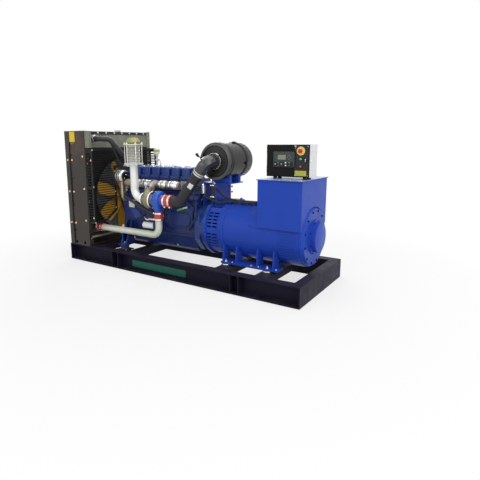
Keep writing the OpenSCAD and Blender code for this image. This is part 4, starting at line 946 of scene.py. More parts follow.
log.tube(flow([(TURBINE_X, y, z) for y, z in turn]), lambda t: 36 + 4 * math.sin(math.pi * t), 28)
log.done("manifold_log", "manifold", replaces=["exhaust_manifold"])
front_end.done("manifold_front_end", "turbine")
dark.pad(level_at(TURBINE_X, TURBO.y, flange_z), 88, 84, 13, 18, 2)
dark.done("manifold_flanges", "turbine")
for dx, dy in four(33, 31):
    nuts.bolt((TURBINE_X + dx, TURBO.y + dy, flange_z + 13), UP, 7, nut=True)
nuts.done("manifold_nuts", "steel")

b = Build()
for i, (lo, hi, tilt) in enumerate(((-615, -505, 100), (-470, -395, -80), (-262, -165, 60),
                                    (-125, -10, -50))):
    rings = []
    for k in range(15):
        t = k / 14
        crinkle = 1.8 * math.sin(9 * t + i) + 1.2 * math.sin(23 * t + 2 * i)
        outer = [polar(MANIFOLD_Y, MANIFOLD_Z, 47.5 + crinkle + 0.8 * math.sin(j * 1.7 + k),
                       100 + 12.5 * j) for j in range(13)]
        inner = [polar(MANIFOLD_Y, MANIFOLD_Z, 46.2 + crinkle, 250 - 12.5 * j) for j in range(13)]
        rings.append([Vector((lo + (hi - lo) * t, y, z + tilt * 0.02 * t)) for y, z in outer + inner])
    b.rings(rings)
b.done("manifold_shields", "foil", crease=60)

# Turbocharger


def volute(b, x, ring, thin, thick, start, sweep, tail):
    """A snail whose section grows along the sweep and then runs on along its tail's points."""
    steps = 36
    path = [Vector((x, *polar(TURBO.y, TURBO.z, ring, start + sweep * k / steps))) for k in range(steps + 1)]
    rest = flow([path[-1]] + [Vector(p) for p in tail], 8)[1:]
    turned = steps / (steps + len(rest))
    return b.tube(path + rest, lambda t: thin + (thick - thin) * min(1.0, t / turned) ** 0.7, 24)


b = Build()
volute(b, TURBINE_X, 68, 20, 41, 470, -290,
       shifted(TURBINE_X, TURBO.z, (0, TURBO.y - 58, 48), (0, TURBO.y - 24, 88), (0, TURBO.y - 2, 112)))
b.lathe(TURBINE, REARWARD,
        [(-95, 0), (-95, 66), (-84, 67), (-82, 56), (-60, 52), (-40, 58), (-26, 72), (-16, 78), (16, 78),
         (26, 80), (32, 90), (40, 90), (40, 0)], 48)
b.pad(level_at(TURBINE_X, TURBO.y, TURBO.z + 108), 92, 88, 13.5, 18, 2)
b.done("turbine_volute", "turbine", replaces=["turbine_housing"], crease=40)

b = Build().lathe(TURBINE, REARWARD,
                  [(36, 0), (36, 70), (62, 64), (68, 46), (86, 44), (94, 58), (100, 60), (100, 0)], 40)
b.pad(seat_at((TURBINE_X + 79, TURBO.y, TURBO.z + 36), UP), 34, 34, 24, 8, 2)
b.pad(seat_at((TURBINE_X + 79, TURBO.y, TURBO.z - 36), DOWN), 34, 46, 26, 8, 2)
b.done("turbo_bearing", "manifold")

b = Build().lathe(TURBINE, REARWARD,
                  [(38, 86), (38, 97), (42, 100), (54, 100), (58, 97), (58, 86)], 56, closed=True)
band_lug = seat_at((TURBINE_X + 48, TURBO.y, TURBO.z), REARWARD, math.radians(215))
b.block((96, -14, -7), (112, 14, 7), 2, 2, band_lug)
b.bolt(band_lug @ Vector((105, 14, 0)), band_lug.to_3x3() @ Vector(FARWARD), 5.5)
b.lathe((TURBINE_X - 96, TURBO.y, TURBO.z), REARWARD,
        [(-9, 56), (-9, 66), (-5, 70), (7, 70), (11, 66), (11, 56)], 48, closed=True)
b.done("turbo_bands", "clamp")

b = Build()
volute(b, COMP_X, 70, 16, 39, -150, 330,
       shifted(COMP_X, TURBO.z, (0, TURBO.y - 64, -46), (0, TURBO.y - 44, -90), (0, -412, -118),
               (0, -410, -134)))
b.lathe(COMPRESSOR, REARWARD,
        [(-46, 0), (-46, 94), (-43, 96), (-34, 96), (-30, 92), (-26, 70), (20, 70), (30, 74), (36, 66),
         (46, 58), (60, 55), (70, 57), (92, 57), (92, 0)], 56)
b.lathe((COMP_X, -PIPE_Y, TURBO.z - 134), UP, [(0, 38), (6, 40.5), (12, 40.5), (14, 38), (30, 38)], 36)
b.done("compressor_volute", "comp", replaces=["compressor_housing"], crease=40)

b = Build()
for y, z in ring_of(8, TURBO.y, TURBO.z, 86.5, 22):
    b.bolt((COMP_X - 46, y, z), FORWARD, 5.5)
for y, z in ring_of(6, TURBO.y, TURBO.z, 83, 10):
    b.bolt((TURBINE_X - 14, y, z), FORWARD, 6)
b.done("turbo_bolts", "steel")

b = Build()
top_union = (TURBINE_X + 79, TURBO.y, TURBO.z + 60)
b.tube(bent([top_union, (top_union[0], TURBO.y, TURBO.z + 92), (top_union[0], -300, TURBO.z + 88),
             (top_union[0] + 10, -262, TURBO.z + 20), (top_union[0] + 10, -262, AXIS + 215)], 20, 5), 5, 10)
b.tube(bent(shifted(TURBINE_X, TURBO.z, (79, TURBO.y, -60), (79, TURBO.y, -130), (79, -262, -200)), 40, 6),
       10.5, 14)
b.done("turbo_oil_lines", "steel")
b = Build().bolt(top_union, UP, 9)
b.bolt((top_union[0], TURBO.y, TURBO.z - 60), DOWN, 14)
b.bolt((TURBINE_X + 79, -270, TURBO.z - 193), (0, 0.86, -0.5), 14)
b.bolt((top_union[0] + 10, -262, AXIS + 222), UP, 9)
b.done("oil_unions", "zinc")

hoses = Build()
hose_bands = Build()
hoses.lathe((NECK_X - 24, TURBO.y, TURBO.z), REARWARD,
            [(0, 57.3), (0, 65.5), (3, 67), (113, 67), (116, 65.5), (116, 57.3)], 48, closed=True)
for t in (18, 88):
    hose_bands.clamp((NECK_X - 24 + t + 8, TURBO.y, TURBO.z), REARWARD, 67.2, 18, 160)
low_z = TURBO.z - 220
hoses.lathe((COMP_X, -PIPE_Y, low_z), UP, [(0, 38.3), (0, 46.5), (3, 48), (30, 48.5), (60, 48.5), (91, 48),
                                        (94, 46.5), (94, 38.3)], 40, closed=True)
for t in (13, 81):
    hose_bands.clamp((COMP_X, -PIPE_Y, low_z + t), UP, 48.2, 16, 200)
STUB = rad1.x + 34
for side in SIDES:
    hoses.lathe((STUB - 28, side * PIPE_Y, PIPE_Z), REARWARD,
                [(0, 38.3), (0, 46.5), (3, 48), (40, 48.8), (50, 48.8), (87, 48), (90, 46.5), (90, 38.3)],
                40, closed=True)
    for t in (14, 76):
        hose_bands.clamp((STUB - 28 + t, side * PIPE_Y, PIPE_Z), REARWARD, 48.2, 14, side * 68.755)
hoses.done("red_hoses", "silicone", replaces=["silicone_hoses"])
hose_bands.done("red_hose_clamps", "clamp")

b = Build().hoop((X0 + 108, -PIPE_Y, PIPE_Z), REARWARD, 37.8, 14, 3)
b.block((X0 + 128, -418, AXIS - 72), (X0 + 146, -402, AXIS - 40), 3, 2)
b.done("charge_pipe_ring", "pipe")

# Exhaust bellows

stack = (EXHAUST_X, TURBO.y, BELLOWS_Z)
# Nine waves in twelve steps each
waves = [(36 + 157 * k / 108, 70 + 7.5 * math.sin(math.pi * (k / 6 - 0.5))) for k in range(109)]
b = Build().lathe(stack, UP, [(6, 0), (12, 63), (32, 63)] + waves + [(197, 63), (217, 63), (220, 0)], 64)
b.done("bellows_waves", "bellows", replaces=["exhaust_bellows"], crease=50)
# Dark hoops in the valleys of the waves: painted shade in the creases.
b = Build()
for k in range(10):
    b.hoop((stack[0], stack[1], BELLOWS_Z + 36 + 157 * k / 9), UP, 62, 6.8, 2.4)
b.done("bellows_valley_shade", "turbine")
b = Build().lathe(stack, UP, [(0, 0), (0, 108), (1.2, 109), (12.8, 109), (14, 108), (14, 0)], 56)
for z in (18, 204):
    b.hoop((stack[0], stack[1], BELLOWS_Z + z + 4), UP, 62.5, 9, 6)
b.done("bellows_flange_low", "bellows")
b = Build().lathe(stack, UP, [(215, 0), (215, 108), (216.2, 109), (227.8, 109), (229, 108), (229, 0)], 56)
b.done("bellows_flange_top", "pipe")
Build().lathe(stack, UP, [(229, 0), (229, 80), (241, 79), (241, 0)], 48).done("stack_gasket", "black")
b = Build().lathe(stack, UP, [(240, 45), (240, 80), (246, 81), (256, 78), (270, 70), (284, 59), (292, 52),
                              (297, 49.5), (297, 45)], 56, closed=True)
b.done("stack_dome", "dome", crease=45)
Build().lathe(stack, UP, [(241.2, 45.2), (241.2, 0)], 40).done("stack_floor", "black")
b = Build()
for x, y in ring_of(6, stack[0], stack[1], 97, 30):
    b.lathe((x, y, BELLOWS_Z - 18), UP, [(0, 3.4), (1, 4.2), (262, 4.2), (264, 3.4)], 14)
    b.bolt((x, y, BELLOWS_Z + 229), UP, 9.5)
    b.bolt((x, y, BELLOWS_Z), DOWN, 9.5)
b.done("bellows_tie_rods", "zinc")

# Coolant

OUTLET = Vector((rad1.x + 30, -440, rad1.z - 92))
THERMOSTAT = Vector((X0 + 12, -165, HEAD + 94))
hose_points = [OUTLET, off(OUTLET, 85, 0, 0), (guard1.x + 85, -345, OUTLET.z - 4),
               off(THERMOSTAT, -10, -15, 110), THERMOSTAT]
b = Build().tube(bent(hose_points, 80, 14), 31, 32)
for place, axis in ((OUTLET, REARWARD), (THERMOSTAT, UP)):
    b.lathe(place, axis, [(0, 31), (0, 33.5), (3, 34.8), (56, 34.8), (62, 31)], 36)
b.done("coolant_top_hose", "rubber", replaces=["coolant_hose"])
b = Build().clamp(off(OUTLET, 30, 0, 0), REARWARD, 35, 13, 20)
b.clamp(off(THERMOSTAT, 0, 0, 30), UP, 35, 13, 200)
b.clamp(off(OUTLET, -20, 0, 0), REARWARD, 32, 13, 70)
b.done("coolant_clamps", "clamp")
b = Build()
for dx, dy in ((-18, -14), (36, -14), (-18, 66), (36, 66)):
    b.bolt((THERMOSTAT.x + dx, THERMOSTAT.y + dy, HEAD + 44), UP, 7)
b.lathe((THERMOSTAT.x, THERMOSTAT.y, HEAD + 44), UP, [(0, 44), (6, 43), (14, 34), (20, 30.5)], 36)
b.done("thermostat_neck", "engine")
b = Build().tube(flow([(rad1.x - 30, -300, rad1.z - 70), (rad1.x + 30, -300, rad1.z - 60),
                       (rad1.x + 110, -270, rad1.z - 120), (X0 - 90, -200, HEAD + 150),
                       (X0 - 20, -120, HEAD + 75), (X0 + 4, -110, HEAD + 42)], 12), 6.5, 12)
b.done("bleed_line", "rubber")

# Air intake

air_low = Vector((COMP_X + 281, TURBO.y, TURBO.z))
elbow_top = off(FILTER, 0, -140, 0)
air_dir = (air_low - elbow_top).normalized()
air_joint = elbow_top + air_dir * 150
b = Build().tube(bent([(NECK_X + 1, TURBO.y, TURBO.z), air_low, air_joint], 110, 26), 57, 48)
b.hoop(air_joint + air_dir * 52, air_dir, 56.5, 10, 4)
b.done("air_hose", "duct", replaces=["air_pipe"])
b = Build().tube(bent([off(FILTER, 0, 1, 0), elbow_top, air_joint - air_dir * 1], 95, 7),
                 lambda t: 80 if t < 0.07 else 72.5 - 8.5 * t, 12)
b.done("filter_elbow", "elbow", replaces=["air_filter_elbow"], crease=12)
b = Build().hoop(air_joint + air_dir * 8, air_dir, 57.5, 16, 4.5)
b.hoop(air_joint - air_dir * 16, air_dir, 62.5, 12, 3)
b.done("elbow_ring", "pipe")
Build().clamp(off(FILTER, 0, -10, 0), FARWARD, 80.5, 10, 30).done("elbow_clamp", "steel")

face = Vector((0.349, -0.889, -0.296))
face = (face - air_dir * face.dot(air_dir)).normalized()
cross = air_dir.cross(face)
middle_at = air_joint + air_dir * 150
sheet = []
for t in (-30, 30):
    for r in (57.2, 57.8):
        arc = [math.radians(-25 + 50 * k / 12) for k in range(13)]
        sheet.append([middle_at + air_dir * t + (face * math.cos(a) + cross * math.sin(a)) * r for a in arc])
b = Build().rings([sheet[0] + sheet[1][::-1], sheet[2] + sheet[3][::-1]])
b.done("air_hose_bare_label", "plate_white")

b = Build().lathe(FILTER, FARWARD, [(-2, 0), (-2, 70), (4, 74), (5, 100), (8, 140), (11, 162), (14, 178),
                                    (16, 186), (21, 190), (30, 190), (36, 184.5), (90, 184.5), (95, 189.5),
                                    (102, 189.5), (107, 184.5), (334, 184.5), (337, 180), (344, 180),
                                    (347, 186), (350, 193.5), (366, 194), (369, 186), (470, 185), (482, 181),
                                    (492, 168), (498, 146), (500, 140), (500, 0)], 96)
for at in spokes(36, off(FILTER, 0, 12, 0), NEARWARD):
    b.block((92, -1.6, -6), (157, 1.6, 5.5), 1.5, 2, at)
for r in (100, 128, 154):
    b.lathe(off(FILTER, 0, 4, 0), FARWARD, [(6, r - 2.5), (-3, r - 1.5), (-3, r + 1.5), (6, r + 2.5)], 72,
            closed=True)
for at in spokes(24, off(FILTER, 0, 420, 0), FARWARD):
    b.block((183.5, -2.5, -45), (188.5, 2.5, 45), 1.5, 1, at)
b.done("filter_canister", "plastic", replaces=["air_filter"])
# A ring over the canister's rim in the lighter, glossier elbow plastic: its lighter colour is a painted
# highlight on the rim.
b = Build().lathe(FILTER, FARWARD, [(12, 160), (9, 164), (12, 180), (18, 190.5), (24, 193), (31, 192.5),
                                    (36, 185)], 96, closed=True)
b.done("filter_rim_highlight", "elbow")
b = Build().lathe(FILTER, FARWARD, [(40, 184.3), (40, 186.2), (43, 186.8), (83, 186.8), (86, 186.2),
                                    (86, 184.3)], 96, closed=True)
b.done("filter_band", "black")
b = Build()
for angle in (8, 98, 188, 278):
    at = seat_at(off(FILTER, 0, 350, 0), FARWARD, math.radians(angle))
    b.block((187, -18, -22), (197, 18, 30), 4, 2, at)
    b.block((195, -11, -30), (203, 11, 10), 3, 2, at)
b.done("filter_latches", "plastic")
b = Build()
for angle in (-6, 6):
    at = seat_at(off(FILTER, 0, 63, 0), FARWARD, math.radians(angle))
    b.block((185, -10, -12), (197, 10, 12), 2, 2, at)
for y in (55, 73):
    b.lathe(off(FILTER, -30, y, 193), REARWARD, [(0, 4), (60, 4)], 12)
    b.bolt(off(FILTER, 30, y, 193), REARWARD, 6.5)
b.done("filter_band_bolts", "clamp")
b = Build().tube(shifted(FILTER.x, FILTER.z, (-150, FILTER.y - 10, 34), (-174, FILTER.y - 40, 50)), 6, 12)
b.lathe(off(FILTER, -172, -38, 48), (-0.46, -0.35, 0.82), [(0, 10), (6, 14), (36, 14), (40, 11), (40, 0)],
        24)
b.done("restriction_gauge", "plastic")
b = Build().lathe(off(FILTER, -186, -53, 69), NEARWARD, [(0, 8), (2, 8), (3, 0)], 20)
b.done("gauge_dot", "mark_green")

b = Build()
for y in (-130, 50):
    for s in (-1, 1):
        b.bolt((FILTER.x + s * 98, y + 22, FILTER.z - 140), UP, 8.5)
for x in (FILTER.x - 190, FILTER.x - 60, FILTER.x + 70):
    for y in (-142, 142):
        b.bolt((x, y, FILTER.z - 230), UP, 7.5)
for z in (60, 120):
    for y in (-140, 140):
        b.bolt((X1 + 205, y, FILTER.z - 230 - z), REARWARD, 8.5)
b.done("bracket_bolts", "machine")
Build().bolt((BELL + 26, -152, FILTER.z - 234), NEARWARD, 12).done("bracket_nut", "zinc")
vent_x, vent_y, vent_top, vent_low = BELL + 18, -150, FILTER.z - 241, AXIS + 270
b = Build().tube(flow([(vent_x, vent_y, vent_top), (vent_x - 4, vent_y - 2, vent_top - 80),
                       (vent_x - 6, vent_y, vent_low + 60), (vent_x - 6, vent_y, vent_low)]), 18, 20)
b.done("vent_hose", "rubber")
b = Build()
for z in (vent_top - 16, AXIS + 336):
    b.clamp((vent_x - 3, vent_y, z), UP, 18.4, 12, 200)
b.done("vent_hose_clamps", "clamp")
b = Build().lathe((X1 + 32, -165, DECK - 4), UP,
                  [(0, 14), (4, 18), (100, 18), (104, 14), (108, 6), (112, 0)], 32)
b.done("solenoid", "clamp")
b = Build().tube(flow(shifted(X1, DECK, (32, -165, 0), (32, -168, -40), (20, -190, -75))), 8, 12)
b.done("solenoid_hose", "rubber")

# Engine sides

NEAR = -SIDE
cover_x0, cover_x1 = X1 - 430, X1 - 40


def outline(x0, x1, z0, z1, r, y):
    """A closed line round a rectangle with round corners, at a Y."""
    corners = round_rect(x1 - x0, z1 - z0, r, 8)
    path = shifted((x0 + x1) / 2, (z0 + z1) / 2, *[(px, y, pz) for px, pz in corners])
    return path + path[:2]


b = Build().tube(evenly(outline(cover_x0 + 10, cover_x1 - 10, AXIS - 20, AXIS + 264, 80, NEAR - 16.5), 12),
                 6, 8)
b.tube(evenly(outline(cover_x0 + 36, cover_x1 - 36, AXIS, AXIS + 144, 60, NEAR - 24.5), 12), 4.5, 8)
for dx in (110, 190, 270):
    b.block((cover_x0 + dx, NEAR - 21, AXIS + 165), (cover_x0 + dx + 8, NEAR - 14, AXIS + 250), 3, 2)
b.done("cooler_cover_ridge", "engine")
b = Build()
for px, pz in round_rect(356, 270, 70, 2):
    b.bolt(((cover_x0 + cover_x1) / 2 + px, NEAR - 16, AXIS + 122 + pz), NEARWARD, 7.2)
for dx, dz in four(60, 132):
    b.bolt(((cover_x0 + cover_x1) / 2 + dx, NEAR - 16, AXIS + 122 + dz), NEARWARD, 7.2)
b.done("cooler_cover_bolts", "engine")

b = Build().pad(seat_at((X0 + 135.5, NEAR - 1, AXIS + 191), NEARWARD, math.pi / 2), 105, 92, 2.2, 6, 0.5)
b.done("block_bare_plate", "plate_white")
b = Build()
for dx, dz in four(47, 40):
    b.screw((X0 + 135.5 + dx, NEAR - 3, AXIS + 191 + dz), NEARWARD, 2.8)
b.done("block_plate_rivets", "steel")

b = Build()
corners = [(X0 + 98, AXIS + 131), (X0 + 209, AXIS + 140), (X0 + 322, AXIS + 56), (X0 + 202, AXIS + 5)]
b.slab([(x, NEAR + 2, z) for x, z in corners], (0, -14, 0))
b.slab([(x * 0.9 + (X0 + 210) * 0.1, NEAR - 11, z * 0.9 + (AXIS + 83) * 0.1) for x, z in corners],
       (0, -6, 0))
b.done("side_casting", "cover", crease=20)

b = Build()
for i in range(5):
    x = CYLINDERS[i] + 75
    b.block((x - 6, NEAR - 8, AXIS - 80), (x + 6, NEAR + 4, AXIS + 120), 4, 2)
for i in range(6):
    for z in (255, 275):
        b.block((CYLINDERS[i] - 45, NEAR + 50, AXIS + z), (CYLINDERS[i] + 45, NEAR + 58, AXIS + z + 8), 3, 2)
b.block((X0 + 10, NEAR - 9, AXIS - 88), (X1 - 10, NEAR + 4, AXIS - 74), 5, 3)
b.block((X1 - 100, -276, AXIS + 290), (X1 - 30, -240, AXIS + 312), 8, 3)
b.block((X1 - 86, -270, AXIS + 180), (X1 - 30, -246, AXIS + 226), 8, 3)
b.done("block_cast_ribs", "engine")

b = Build()
PAN_TOP = block0.z
for s in (-1, 1):
    for i in range(13):
        b.bolt((X0 + 50 + 83 * i, s * 240, PAN_TOP - 15), DOWN, 6.5)
    for i in range(7):
        b.block((X0 + 120 + 130 * i, s * 188.5 - 4, PAN_TOP - 165),
                (X0 + 128 + 130 * i, s * 188.5 + 4, PAN_TOP - 30), 3, 2)
b.done("oil_pan_bolts", "engine")
Build().bolt((X1 - 307, -190, AXIS - 240), NEARWARD, 14).done("drain_plug", "mark_green")

b = Build()
mount_x = X1 - 515
oil_at = (mount_x + 2, -350, AXIS - 22)
b.lathe(oil_at, FORWARD, [(0, 0), (0, 30), (4, 36), (12, 37.5), (16, 36.5), (140, 36.5), (158, 35),
                          (170, 29), (177, 18), (180, 0)], 48)
b.done("oil_filter_can", "enamel", replaces=["oil_filter"])
b = Build()
for at in spokes(14, (mount_x - 158, -350, AXIS - 22), FORWARD):
    b.block((31, -3, -10), (36.2, 3, 8), 1, 1, at)
b.done("oil_filter_flutes", "enamel")
b = Build().block((mount_x, -390, AXIS - 62), (mount_x + 48, NEAR + 2, AXIS + 22), 8, 3)
b.bolt((mount_x + 24, -370, AXIS + 22), UP, 10)
b.bolt((mount_x + 24, -300, AXIS + 22), UP, 10)
b.bolt((mount_x + 48, -350, AXIS - 22), REARWARD, 14)
b.done("oil_filter_head", "engine")

b = Build().tube(shifted(X0, AXIS, (501, -360, 53), (590, -360, 53)), 10, 16)
b.done("pressure_switch", "plate_white")
b = Build().lathe((X0 + 455, -360, AXIS + 45), REARWARD, [(0, 10), (26, 10), (28, 13), (46, 13)], 6)
b.tube(flow(shifted(X0, AXIS, (460, -360, 45), (430, -352, 60), (400, -300, 75), (392, -262, 80))), 6, 10)
b.done("switch_fitting", "brass")

b = Build().tube(flow(shifted(X0, AXIS, (71, -252, 300), (71, -296, 281), (312, -306, 179), (525, -300, 107),
                              (560, -262, 95)), 10), 17, 16)
b.tube(flow(shifted(X1, AXIS, (25, -262, 270), (25, -300, 244), (24, -302, 124), (-37, -300, 33),
                    (-76, -300, -17), (-100, -256, -40)), 10), 7, 12)
b.tube(flow([(X1 - 100, -154, DECK + 100), (X1 - 60, -210, DECK + 70), (X1 - 35, -262, AXIS + 310)], 10), 8,
       12)
b.done("engine_side_hoses", "rubber")
b = Build().lathe((X1 - 150, -290, AXIS + 202), (1, 0, 0.28), [(0, 9), (52, 9), (54, 6)], 16)
b.done("sensor_plug", "plate_white")
b = Build().lathe((X1 - 217, -290, AXIS + 181), (1, 0, 0.28), [(0, 8), (2, 11), (66, 11), (68, 8)], 16)
b.tube(flow(shifted(X1, AXIS, (-215, -290, 181), (-240, -280, 170), (-255, -262, 150))), 5, 10)
b.done("sensor_body", "mark_green")
b = Build().tube(flow(shifted(X0, AXIS, (300, -256, -60), (302, -282, 20), (292, -288, 160),
                              (270, -268, 300)), 8), 5.5, 10)
b.done("dipstick_tube", "engine")
b = Build().lathe((X0 + 270, -268, AXIS + 298), (-0.1, 0.1, 1), [(0, 7), (4, 10), (30, 10), (34, 6)], 16)
b.done("dipstick_grip", "black")

# Far side

pump_x = CYLINDERS[2] - 90
b = Build()
for i, x in enumerate(CYLINDERS):
    start = Vector((pump_x + 30 + 50 * i, SIDE + 38, AXIS + 162))
    b.tube(bent([start, off(start, 0, 0, 45 + 6 * i), (x + 50, SIDE + 75, AXIS + 300 + 4 * i),
                 (x + 50, 160, DECK + 14), (x + 40, 156, DECK + 124)], 16, 5), 3.5, 8)
b.done("fuel_lines", "steel")
b = Build()
for i, x in enumerate(CYLINDERS):
    b.bolt((pump_x + 30 + 50 * i, SIDE + 38, AXIS + 161), UP, 9)
    b.bolt((x + 40, 150, DECK + 128), FARWARD, 9)
for dx in (20, 160, 300):
    b.bolt((pump_x + dx, SIDE + 75, AXIS + 60), FARWARD, 7.5)
    b.bolt((pump_x + dx, SIDE + 75, AXIS + 112), FARWARD, 7.5)
b.done("fuel_unions", "zinc")
b = Build()
for x in CYLINDERS:
    for dx in (-32, 32):
        b.bolt((x + dx, 186, DECK + 132), UP, 7.5)
        b.bolt((x + dx, 272, DECK + 50), FARWARD, 7.5)
b.done("intake_bolts", "engine")
start_x = X1 - 200
b = Build().tube(flow([(start_x + 2, 315, AXIS + 72), (start_x - 50, 318, AXIS + 70),
                       (start_x - 90, 305, AXIS + 10), (start_x - 100, 300, AXIS - 140),
                       (start_x - 90, 330, PAN_TOP - 180), (start_x - 40, 405, 236),
                       (start_x - 30, 430, 203)], 10), 9, 14)
b.tube(flow(shifted(start_x, AXIS, (2, 305, 90), (-60, 300, 100), (-110, 270, 60), (-140, 258, -30)), 10), 6,
       12)
b.done("starter_cables", "cable")
b = Build().bolt((start_x - 30, 430, 200), UP, 12)
b.bolt((start_x, 315, AXIS + 72), FORWARD, 9, nut=True)
b.bolt((start_x, 305, AXIS + 90), FORWARD, 7, nut=True)
for a in (40, 160, 280):
    y, z = polar(315, AXIS - 10, 48, a)
    b.bolt((X1 - 285, y, z), FORWARD, 6.5)
b.hoop((X1 - 230, 315, AXIS - 10), REARWARD, 60, 12, 2)
b.done("starter_nuts", "zinc")

# Engine mounts and bell housing

studs = Build()
rods = Build()
for side in SIDES:
    y = side * MOUNT_Y
    rods.lathe((MOUNT_X - 36, y, 262), UP, [(0, 7.5), (112, 7.5), (114, 5.5)], 14)
    rods.bolt((MOUNT_X - 36, y, 290), UP, 12, washer=False)
    for dx in (-40, 40):
        for z in (PAN_TOP - 135, PAN_TOP - 105):
            studs.bolt((MOUNT_X + dx, side * 264, z + 10), (0, side, 0), 9.5)
studs.done("engine_mount_studs", "zinc")
for side in SIDES:
    rods.lathe((MOUNT_X, side * MOUNT_Y, 262.5), UP, [(0, 46), (4, 46), (9, 38), (12, 20), (12, 14)], 40)
rods.done("engine_mount_rods", "machine")

b = Build()
for y, z in ring_of(16, 0, AXIS, 301, 11.25):
    b.bolt((BELL + 14, y, z), REARWARD, 7.5)
for y, z in ring_of(16, 0, AXIS, 304, 11.25):
    b.bolt((BELL - 18, y, z), FORWARD, 6.5)
for y, z in ring_of(12, 0, AXIS, 299, 15):
    b.bolt((RING, y, z), FORWARD, 8.5)
b.done("coupling_flange_bolts", "machine")
b = Build().lathe((BELL + 4, 0, AXIS), REARWARD,
                  [(0, 0), (0, 262), (18, 266), (20, 215), (70, 200), (76, 248), (98, 248), (102, 180),
                   (170, 170), (172, 0)], 64)
b.done("coupling_drum", "panel")
b = Build()
for at in spokes(16, (BELL + 130, 0, AXIS), REARWARD):
    b.block((176, -4, -34), (262, 4, 34), 2, 1, at)
b.done("cooling_wheel", "panel")

# Alternator

b = Build()
edge_x = BARREL + 278
for side in SIDES:
    sheet = []
    for k in range(25):
        x = edge_x + 20 * (1 - k / 24) ** 2
        sections = [(x, 299), (x, 307), (x + 3, 309), (box0.x + 30, 309), (box0.x + 30, 299)]
        turned = [(at, polar(0, AXIS, r, 18 + 2.6 * k)) for at, r in sections]
        sheet.append([Vector((at, -side * yz[0], yz[1])) for at, yz in turned])
    b.rings(sheet)
for i in range(3):
    y0, z0 = polar(0, AXIS, 300.5, 205 + 22 * i)
    for s in (-1, 1):
        b.tube([(BARREL + 4, s * abs(y0), z0), (BARREL_END - 4, s * abs(y0), z0)], 2.6, 6)
b.done("barrel_seams", "machine")
b = Build()
for x in (BARREL + 45, BARREL_END - 110):
    b.pad(level_at(x, 0, AXIS + 296), 66, 66, 12, 12, 3, 2)
    b.lathe((x, 0, AXIS + 305), UP, [(0, 22), (8, 20), (12, 13), (20, 11)], 24)
b.done("lifting_bosses", "machine")
b = Build().tube(evenly(flow([(BELL + 46, -128, AXIS + 412), (BELL + 80, -134, AXIS + 398),
                              (RING - 14, -146, AXIS + 344), (BARREL + 20, -118, AXIS + 314),
                              (BARREL + 120, -110, AXIS + 306), (BARREL + 300, -110, AXIS + 306),
                              (box0.x + 4, -110, AXIS + 300)], 10), 3),
                 lambda t: 11.5 + 1.6 * math.sin(t * 900), 16)
b.done("barrel_conduit", "cable")
b = Build()
for x in (BARREL + 110, BARREL + 280):
    b.block((x - 10, -140, AXIS + 282), (x + 10, -86, AXIS + 288), 2)
    b.hoop((x, -110, AXIS + 306), REARWARD, 12.8, 12, 1.8)
b.done("conduit_clips", "machine")

# Thin black strips under the louvres: painted shade in the gaps between them.
b = Build()
for side in SIDES:
    for i in range(12):
        y, z = polar(0, AXIS, 296.5, 15.7 - 5.4 * i)
        at = seat_at((BARREL_END + 115, side * -y, z), (0, side * -y, z - AXIS), 0)
        b.block((-6.2, -94, -4), (6.2, 94, 0.8), 0.4, 1, at)
b.done("louvre_shade_strips", "panel")
b = Build()
for y, z in ring_of(12, 0, AXIS, 255, 15):
    b.bolt((REAR + 45, y, z), REARWARD, 8.5)
for y, z in ring_of(8, 0, AXIS, 159, 22.5):
    b.bolt((REAR + 56, y, z), REARWARD, 6)
b.done("end_bracket_bolts", "panel")
b = Build().lathe((REAR + 100, 0, AXIS), REARWARD, [(0, 0), (0, 147.8), (3.5, 144), (5, 138), (5, 0)], 72)
b.done("exciter_cap_face", "machine")
b = Build()
for side in SIDES:
    for x in (BARREL + 130, BARREL + 350, BARREL_END - 170, BARREL_END + 20):
        b.bolt((x, side * FOOT_Y, 240), UP, 8)
b.done("foot_bolts", "zinc")

# Terminal box

b = Build()
top = box1.z
for i in range(5):
    for s in (-1, 1):
        b.screw((box0.x + 22 + (box1.x - box0.x - 44) * i / 4, s * 314, top), UP, 6)
for y in (-160, 0, 160):
    b.screw((box0.x + 16, y, top), UP, 6)
    b.screw((box1.x - 16, y, top), UP, 6)
b.done("terminal_lid_screws", "zinc")
b = Build().block((box0.x + 4, -324, top - 0.5), (box1.x - 4, 324, top + 0.8), 0.4)
b.done("terminal_lid_face", "lid")
b = Build()
for side in SIDES:
    for x in (box0.x + 35, box1.x - 35):
        for z in (AXIS + 120, top - 40):
            b.screw((x, side * 318, z), (0, side, 0), 4.5)
for y in (-290, 290):
    for z in (AXIS + 335, top - 40):
        b.screw((box1.x - 10, y, z), REARWARD, 4.5)
b.done("terminal_cover_screws", "machine")
b = Build()
for y in (-130, -110, 80, 140):
    r = 14 if y < 0 else 20
    b.lathe((box0.x + 12, y, AXIS + (300 if y < 0 else 400)), FORWARD,
            [(0, r * 1.15), (6, r * 1.15), (7, r), (26, r * 0.92), (28, r * 0.7)], 24)
b.done("terminal_glands", "black")

# Control box

FACE = door0.y + 12


def facing(x, z, out=0):
    """A placement on the door's face whose X is right and whose Y is up."""
    place = Vector((PANEL_X + x, FACE - out, PANEL_Z + z))
    return Matrix.Translation(place) @ Matrix(((1, 0, 0), (0, 0, -1), (0, 1, 0))).to_4x4()


def spot(x, z, out=0):
    """A point on the door's face."""
    return facing(x, z, out).to_translation()


Build().pad(facing(354, 150), 136, 282, 2.2, 4, 0.8).done("switch_panel", "switch", body="door")
b = Build()
rim = [(4, 4), (424, 4), (424, 296), (4, 296), (4, 4), (424, 4)]
b.tube(bent([spot(x, z, 0.2) for x, z in rim], 4, 3), 2.2, 6)
b.done("door_rim", "panel", body="door")

